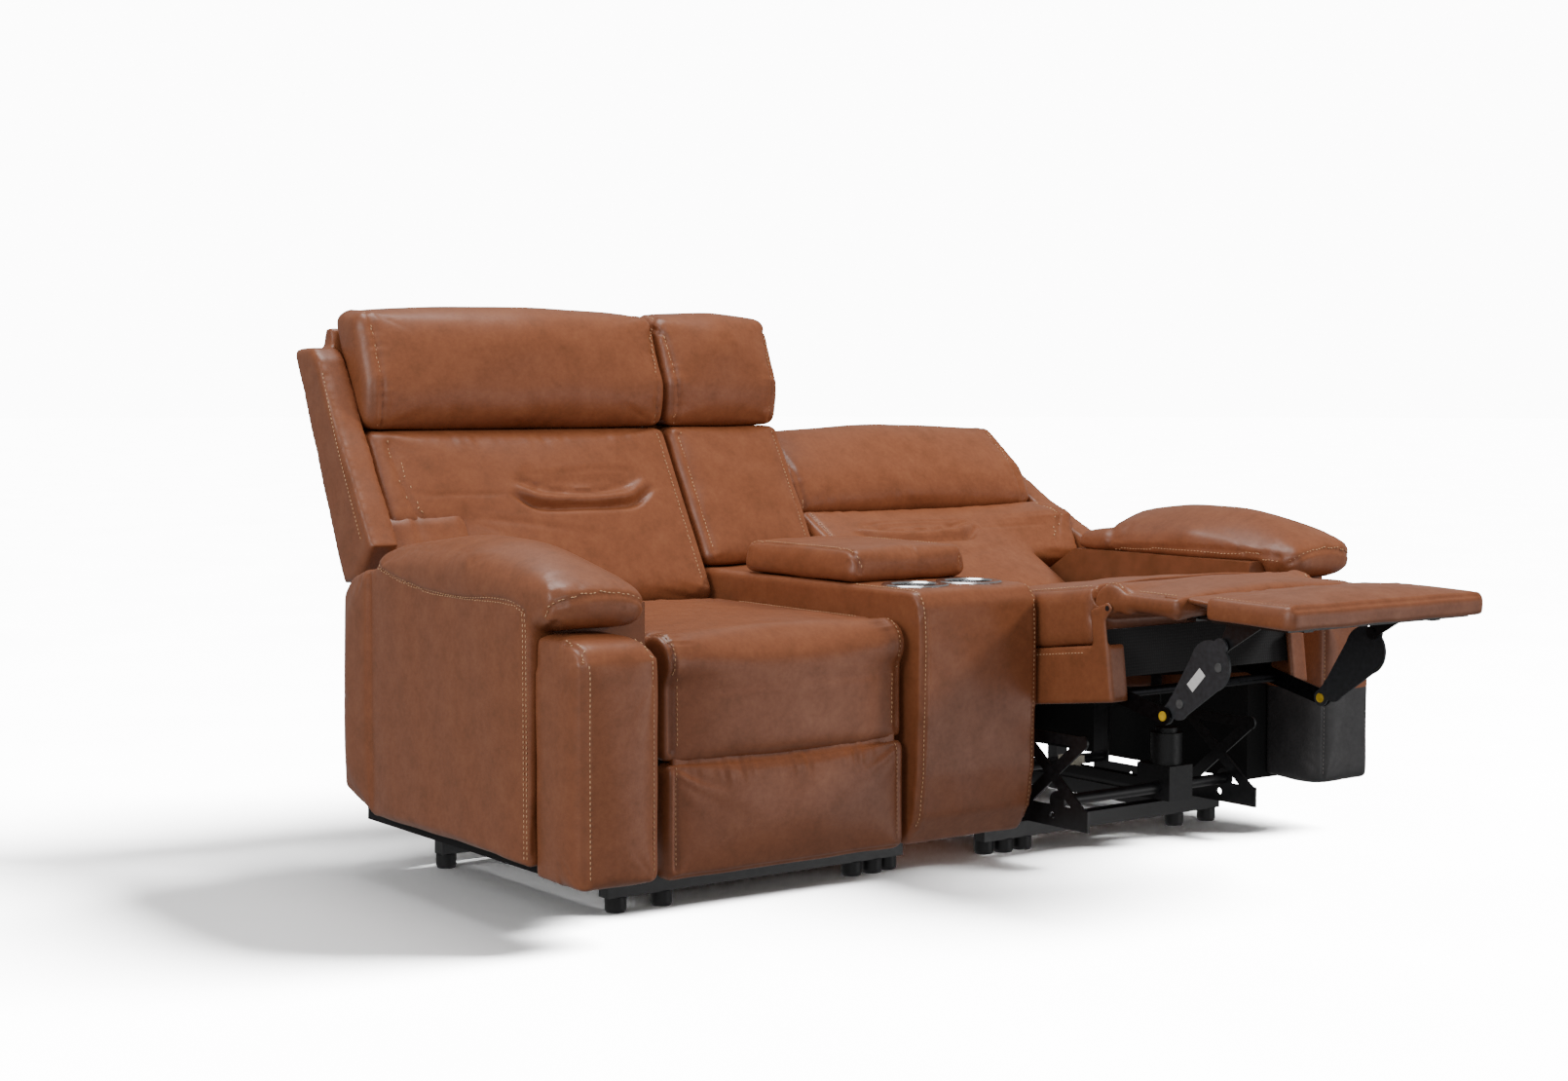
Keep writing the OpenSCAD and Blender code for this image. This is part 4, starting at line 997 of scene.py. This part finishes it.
bootShape = {
    "voxel": 5.0, "smoothing": 14, "swell": 6.0, "spread": (0.6, 1.0, 1.0), "heldY": 120, "middleX": 850.0,
    "half": 112.0, "depth": 26.0, "reach": 60.0, "seamX": (938, 800), "groove": (2.6, 3.5, 0.8),
    "seam": ((60, 492), (20, 490), (2, 470), (-2, 400), (-2, 260), (-2, 108)),
    "evenY": 70, "evenZ": 440, "evenRounds": 20, "topY": 60, "topZ": 462, "topRounds": 40,
    "uneven": (1.0, 160, 15), "charcoalTop": 0.29, "fill": 0.3,
}


def makeBoots():
    shape = bootShape
    form = voxelForm("boot form", ["arm_boot_left"], shape)
    stitches = bmesh.new()
    seams = [atX(x, shape["seam"]) for x in shape["seamX"]]
    roundFront(form, shape["middleX"], shape["half"], shape["depth"], shape["reach"], power=8)
    relax(form, lambda p: (p[:, 1] < shape["evenY"]) | (p[:, 2] > shape["evenZ"]), shape["evenRounds"])
    relax(form, lambda p: (p[:, 2] > shape["topZ"]) & (p[:, 1] < shape["topY"]), shape["topRounds"])
    pressSeams(form, seams, shape["groove"])
    fillWithAir(form, seams, lambda p: p[:, 1] > shape["heldY"], shape["swell"], shape["spread"])
    sewPair(form, stitches, seams)
    soften(form, *shape["uneven"])
    finishForm(form, stitches)
    for side in ("left", "right"):
        piece = dressPiece(form, f"arm_boot_cover_{side}", placeFor("frame", side),
                           (leather, thread, darkLeather, darkThread), "frame", [f"arm_boot_{side}"])
        if side == "right":
            # the lower half of this boot is faced with charcoal leather behind the footrest
            for face in piece.data.polygons:
                if face.center.z < shape["charcoalTop"]:
                    face.material_index += 2
    dropForm(form)
    print("arms covered")


# console body; its hide is pressed flat under the rims of the cup holders

consoleShape = {
    "voxel": 5.5, "smoothing": 5, "cupX": (-66.0, 66.0), "cupY": 241.0, "rim": (51, 71), "rimReach": 12,
    "rimDepth": 0.4, "groove": (2.4, 3.5, 0.8), "stitchGap": 4.0, "ends": (136, -136),
    "seam": ((330, 526), (200, 526), (160, 524), (137, 505), (131, 420), (132, 260), (140, 130), (155, 84)),
    "uneven": (1.2, 180, 17), "unevenAxes": (1, 0.4, 1), "fill": 0.3,
}


def dressConsole(form, name, nodeName, materials=leatherPair, body="frame"):
    dressPiece(form, name, placeFor("frame", "left"), materials, body, [nodeName])
    dropForm(form)


def makeConsoleBody():
    shape = consoleShape
    form = voxelForm("console form", ["console_body"], shape)
    points = readPoints(form)
    top = plan["consoleTop"]
    for cupX in shape["cupX"]:
        radius = np.hypot(points[:, 0] - cupX, points[:, 1] - shape["cupY"])
        rim = (radius > shape["rim"][0]) & (radius < shape["rim"][1])
        points[rim & (points[:, 2] > top - shape["rimReach"]), 2] = top - shape["rimDepth"]
    writePoints(form, points)
    stitches = bmesh.new()
    for x, aside in zip(shape["ends"], (shape["stitchGap"], -shape["stitchGap"])):
        route = atX(x, shape["seam"])
        pressSeam(form, route, *shape["groove"])
        stitchAlong(form, stitches, route, aside)
    soften(form, *shape["uneven"], axes=shape["unevenAxes"])
    finishForm(form, stitches)
    dressConsole(form, "console_cover", "console_body")


consoleShellShape = {"voxel": 4.5, "smoothing": 3, "fill": 0.3}


def makeConsoleShell():
    form = voxelForm("console shell form", ["console_shell"], consoleShellShape)
    finishForm(form, None)
    dressConsole(form, "console_shell_cover", "console_shell", (leather,))


# console cushion, headrest and the lid of the storage well

consoleCushionShape = {
    "voxel": 5.0, "smoothing": 7, "swell": 7.0, "heldDepth": 30, "groove": (3.5, 4.0, 0.8), "ends": (124, -124),
    "heights": (800, 740, 680, 620, 560), "ahead": 3, "uneven": (1.5, 130, 19), "fill": 0.65,
}
consoleHeadShape = {
    "voxel": 5.0, "smoothing": 7, "swell": 7.0, "heldDepth": 70, "groove": (3.5, 4.0, 0.8), "ends": (121, -121),
    "endPucker": (0.8, 24, 18), "belly": ((0, 925, 876), (170, 90, 44), 5.0), "uneven": (0.8, 160, 21),
    "fill": 0.7,
}
lidShape = {
    "voxel": 4.0, "smoothing": 5, "swell": 7.0, "spread": (0.8, 1.0, 1.0), "heldZ": 540, "groove": (3.0, 3.5, 0.8),
    "seam": ((684, 575), (660, 588), (500, 590), (380, 588), (344, 574), (334, 556), (336, 542)),
    "ends": (124, -124), "frontFolds": ((-110, 340, 585), (0, 338, 588), (110, 340, 585)),
    "frontPucker": (1.2, 30, 22, 2.0), "uneven": (1.2, 130, 23), "fill": 0.6,
}


def makeConsoleCushion():
    shape = consoleCushionShape
    seams = [onFace([(x, z) for z in shape["heights"]], shape["ahead"]) for x in shape["ends"]]
    form, stitches = sewnForm("console cushion form", "console_cushion", shape, seams,
                              behindFace(shape["heldDepth"]))
    soften(form, *shape["uneven"])
    finishForm(form, stitches)
    dressConsole(form, "console_cushion_cover", "console_cushion")


def makeConsoleHead():
    shape = consoleHeadShape
    seams = [atX(x, headSeam) for x in shape["ends"]]
    form, stitches = sewnForm("console headrest form", "console_headrest", shape, seams,
                              behindFace(shape["heldDepth"]))
    for seam, x in zip(seams, shape["ends"]):
        pucker(form, seam, *shape["endPucker"], x)
    bulge(form, *shape["belly"])
    soften(form, *shape["uneven"])
    finishForm(form, stitches)
    dressConsole(form, "console_head_cover", "console_headrest")


def makeLid():
    shape = lidShape
    seams = [atX(x, shape["seam"]) for x in shape["ends"]]
    form, stitches = sewnForm("lid form", "console_lid", shape, seams, lambda p: p[:, 2] < shape["heldZ"],
                              shape["spread"])
    pucker(form, shape["frontFolds"], *shape["frontPucker"])
    soften(form, *shape["uneven"])
    finishForm(form, stitches)
    dressConsole(form, "console_lid_cover", "console_lid", body="lid")
    print("console covered")


# arm cases: black cloth where the seats run, leather above

caseLook = {"clothTop": 0.452, "leatherFrom": 0.455, "roughness": (0.88, 0.46), "cloth": ("#0B0B0C", "#1A191A"),
            "weaveMm": 1.5, "weaveDepth": 0.0003}


def paintCases():
    # polyester cambric stapled over board, and cowhide above it
    material, tree, where = newMaterial("leather over cambric lining")
    height = addNode(tree, "ShaderNodeSeparateXYZ", Vector=where).outputs["Z"]
    share = mapNode(tree, height, caseLook["clothTop"], caseLook["leatherFrom"], 0.0, 1.0)
    cloud = noiseNode(tree, where, leatherLook["mottleMm"], 5.0)
    hide = rampNode(tree, cloud, [(0.35, leatherLook["dark"]), (0.65, leatherLook["mid"])])
    weave = noiseNode(tree, where, caseLook["weaveMm"], 2.0)
    cloth = rampNode(tree, weave, [(0.3, caseLook["cloth"][0]), (0.7, caseLook["cloth"][1])])
    colour = addNode(tree, "ShaderNodeMix", {"data_type": "RGBA"}, i0=share, i6=cloth, i7=hide).outputs[2]
    rough = mapNode(tree, share, 0.0, 1.0, *caseLook["roughness"])
    addSurface(tree, colour, rough, 1.47, bumpNode(tree, weave, 0.4, caseLook["weaveDepth"]))
    return material


caseMaterial = paintCases()
nodeFinish = {
    "base_": paintedSteel, "carriage_": paintedSteel, "pan_frame_": paintedSteel, "support_links_": bluedSteel,
    "rear_links_": bluedSteel, "front_links_": guardPlastic, "back_frame_": paintedSteel,
    "chaise_frame_": paintedSteel, "ottoman_frame_": paintedSteel, "motor_": blackPlastic,
    "drive_nut_": nutPlastic, "foot_pads": blackPlastic, "front_panel_": blackCloth, "rear_skirts": blackCloth,
    "power_inlet": blackPlastic, "switch_plates": blackPlastic, "button_": buttonMetal, "cup_holders": chrome,
    "arm_core_": caseMaterial,
}


def paintNodes():
    for name, node in cadNodes.items():
        finish = next((m for prefix, m in nodeFinish.items() if name.startswith(prefix)), None)
        if finish:
            node.data.materials.clear()
            node.data.materials.append(finish)
    print("carried nodes painted")


# caps, washers and blank labels on the footrest links
# closed seat, (y, z) millimetres: the link pivot, the two round ends of the guard and the guard's own directions

fittingShape = {
    "faces": ((204.0, -1), (626.0, 1)), "pivot": (326.5, 90.0), "big": (262.1, 220.2), "small": (305.7, 118.2),
    "along": (-0.393, 0.92), "aside": (-0.92, -0.393), "cap": (8.5, 2.2), "capLift": 0.9,
    "washerX": (195.7, 619.7), "washer": (9.0, 2.6), "label": (0.7, 19.0, 44.0), "labelLift": 0.4,
    "labelEdge": 0.25,
}


def capOn(mesh, x, spot, radius, thick):
    place = Matrix.Translation((x, *spot)) @ Matrix.Rotation(math.pi / 2, 4, "Y")
    made = bmesh.ops.create_cone(mesh, cap_ends=True, segments=28, radius1=radius, radius2=radius, depth=thick,
                                 matrix=place)
    edges = dict.fromkeys(e for v in made["verts"] for e in v.link_edges)
    rim = [e for e in edges if abs(e.verts[0].co.x - e.verts[1].co.x) < thick / 2]
    bmesh.ops.bevel(mesh, geom=rim, offset=thick * 0.3, affect="EDGES", segments=2, profile=0.5, material=-1)


def fittingPiece(name, mesh, finish, side):
    bmesh.ops.recalc_face_normals(mesh, faces=mesh.faces)
    form = newForm(name, mesh)
    dressPiece(form, f"{name}_{side}", placeFor("front_links", side), (finish,), f"front_links_{side}", [])
    dropForm(form)


def makeFittings():
    shape = fittingShape
    big, small, along, aside = (np.array(shape[key]) for key in ("big", "small", "along", "aside"))
    capSpots = big + along * 14 + aside * 16, small + along * 8
    labelSpot = small * 0.38 + big * 0.62 - aside * 4
    turn = Matrix(((1, 0, 0), (0, aside[0], along[0]), (0, aside[1], along[1]))).to_4x4()
    for side in ("left", "right"):
        caps, washers, labels = bmesh.new(), bmesh.new(), bmesh.new()
        for x, out in shape["faces"]:
            for spot in capSpots:
                capOn(caps, x + out * shape["capLift"], spot, *shape["cap"])
            place = Matrix.Translation((x + out * shape["labelLift"], *labelSpot)) @ turn
            bmesh.ops.create_cube(labels, size=1.0, matrix=place @ Matrix.Diagonal((*shape["label"], 1)))
        for x in shape["washerX"]:
            capOn(washers, x, shape["pivot"], *shape["washer"])
        bmesh.ops.bevel(labels, geom=labels.edges[:], offset=shape["labelEdge"], affect="EDGES", segments=2,
                        profile=0.5, material=-1)
        fittingPiece("guard_caps", caps, capPlastic, side)
        fittingPiece("link_washers", washers, yellowAcetal, side)
        fittingPiece("guard_labels", labels, paperLabel, side)
    print("fittings made")


# floor, light and camera

stage = {"floorRadius": 60.0, "ambient": 0.3, "mirrored": 0.3, "backdrop": 12.0, "washPower": 72.0,
         "washFrom": (1.1, -0.4, 1.0), "washSpread": 30.0}


def makeStage():
    # white sweep: the floor has a wash light of its own, so it burns out to white and keeps its contact shadow
    mesh = bmesh.new()
    bmesh.ops.create_circle(mesh, cap_ends=True, segments=96, radius=stage["floorRadius"])
    floor = newForm("floor", mesh)
    # matt vinyl sweep
    floor.data.materials.append(makePlain("pale seamless floor", ("#F1F1F1", "#F6F6F6"), (0.75, 0.85), 40.0, 0.01))
    floor.visible_diffuse = False
    floor.visible_glossy = False
    washed = bpy.data.collections.new("washed floor")
    washed.objects.link(floor)
    sun = bpy.data.lights.new("floor wash", "SUN")
    sun.energy = stage["washPower"]
    sun.angle = math.radians(stage["washSpread"])
    holder = addObject("floor wash", sun)
    holder.rotation_euler = Vector(stage["washFrom"]).to_track_quat("Z", "Y").to_euler()
    holder.light_linking.receiver_collection = washed
    world = bpy.data.worlds.new("studio")
    world.use_nodes = True
    tree = world.node_tree
    path = addNode(tree, "ShaderNodeLightPath")
    mirrored = mapNode(tree, path.outputs["Is Glossy Ray"], 0.0, 1.0, stage["ambient"], stage["mirrored"])
    strength = mapNode(tree, path.outputs["Is Camera Ray"], 0.0, 1.0, mirrored, stage["backdrop"])
    background = tree.nodes["Background"]
    background.inputs["Color"].default_value = (1.0, 1.0, 1.0, 1.0)
    tree.links.new(strength, background.inputs["Strength"])
    bpy.context.scene.world = world
    print("stage made")


def aimAt(holder, direction):
    holder.rotation_euler = direction.to_track_quat("-Z", "Y").to_euler()


lights = {
    "key": {"at": (4.0, -1.9, 3.4), "aim": (0.0, -0.1, 0.5), "size": 0.8, "power": 215.0, "mirrored": False},
    "fill": {"at": (-4.6, -1.0, 2.2), "aim": (-0.6, 0.0, 0.5), "size": 2.4, "power": 100.0, "mirrored": True},
    "front": {"at": (-2.6, -4.8, 1.7), "aim": (-0.4, 0.0, 0.6), "size": 1.4, "power": 32.0, "mirrored": True},
    "bounce": {"at": (1.9, -2.9, 0.08), "aim": (0.2, 0.1, 0.9), "size": 1.9, "power": 15.0, "mirrored": True},
    "top": {"at": (-0.5, 0.6, 4.2), "aim": (-0.2, 0.1, 0.6), "size": 2.2, "power": 112.0, "mirrored": True},
}


def makeLights():
    for name, light in lights.items():
        lamp = bpy.data.lights.new(name, "AREA")
        lamp.size = light["size"]
        lamp.energy = light["power"]
        holder = addObject(name, lamp)
        holder.location = light["at"]
        holder.visible_glossy = light["mirrored"]
        holder.visible_camera = False
        aimAt(holder, Vector(light["aim"]) - Vector(light["at"]))
    print("lights made")


cameraView = {"at": (-2.894, -3.471, 0.902), "azimuth": 36.18, "pitch": 3.4, "lens": 54.47, "sensor": 36.0,
              "shift": (0.01494, -0.01038)}


def makeCamera():
    lens = bpy.data.cameras.new("camera")
    lens.sensor_width = cameraView["sensor"]
    lens.lens = cameraView["lens"]
    lens.shift_x, lens.shift_y = cameraView["shift"]
    holder = addObject("camera", lens)
    holder.location = cameraView["at"]
    azimuth, pitch = math.radians(cameraView["azimuth"]), math.radians(cameraView["pitch"])
    look = Vector((math.sin(azimuth) * math.cos(pitch), math.cos(azimuth) * math.cos(pitch), -math.sin(pitch)))
    aimAt(holder, look)
    bpy.context.scene.camera = holder
    print("camera set")


makeStage()
makeLights()
makeCamera()
paintNodes()
makeFittings()
makeSeats()
makeSeatBoxes()
makeOttomans()
makeGussets()
makeLumbars()
makeHeads()
makeShells()
makeArms()
makeBoots()
makeConsoleBody()
makeConsoleShell()
makeConsoleCushion()
makeConsoleHead()
makeLid()
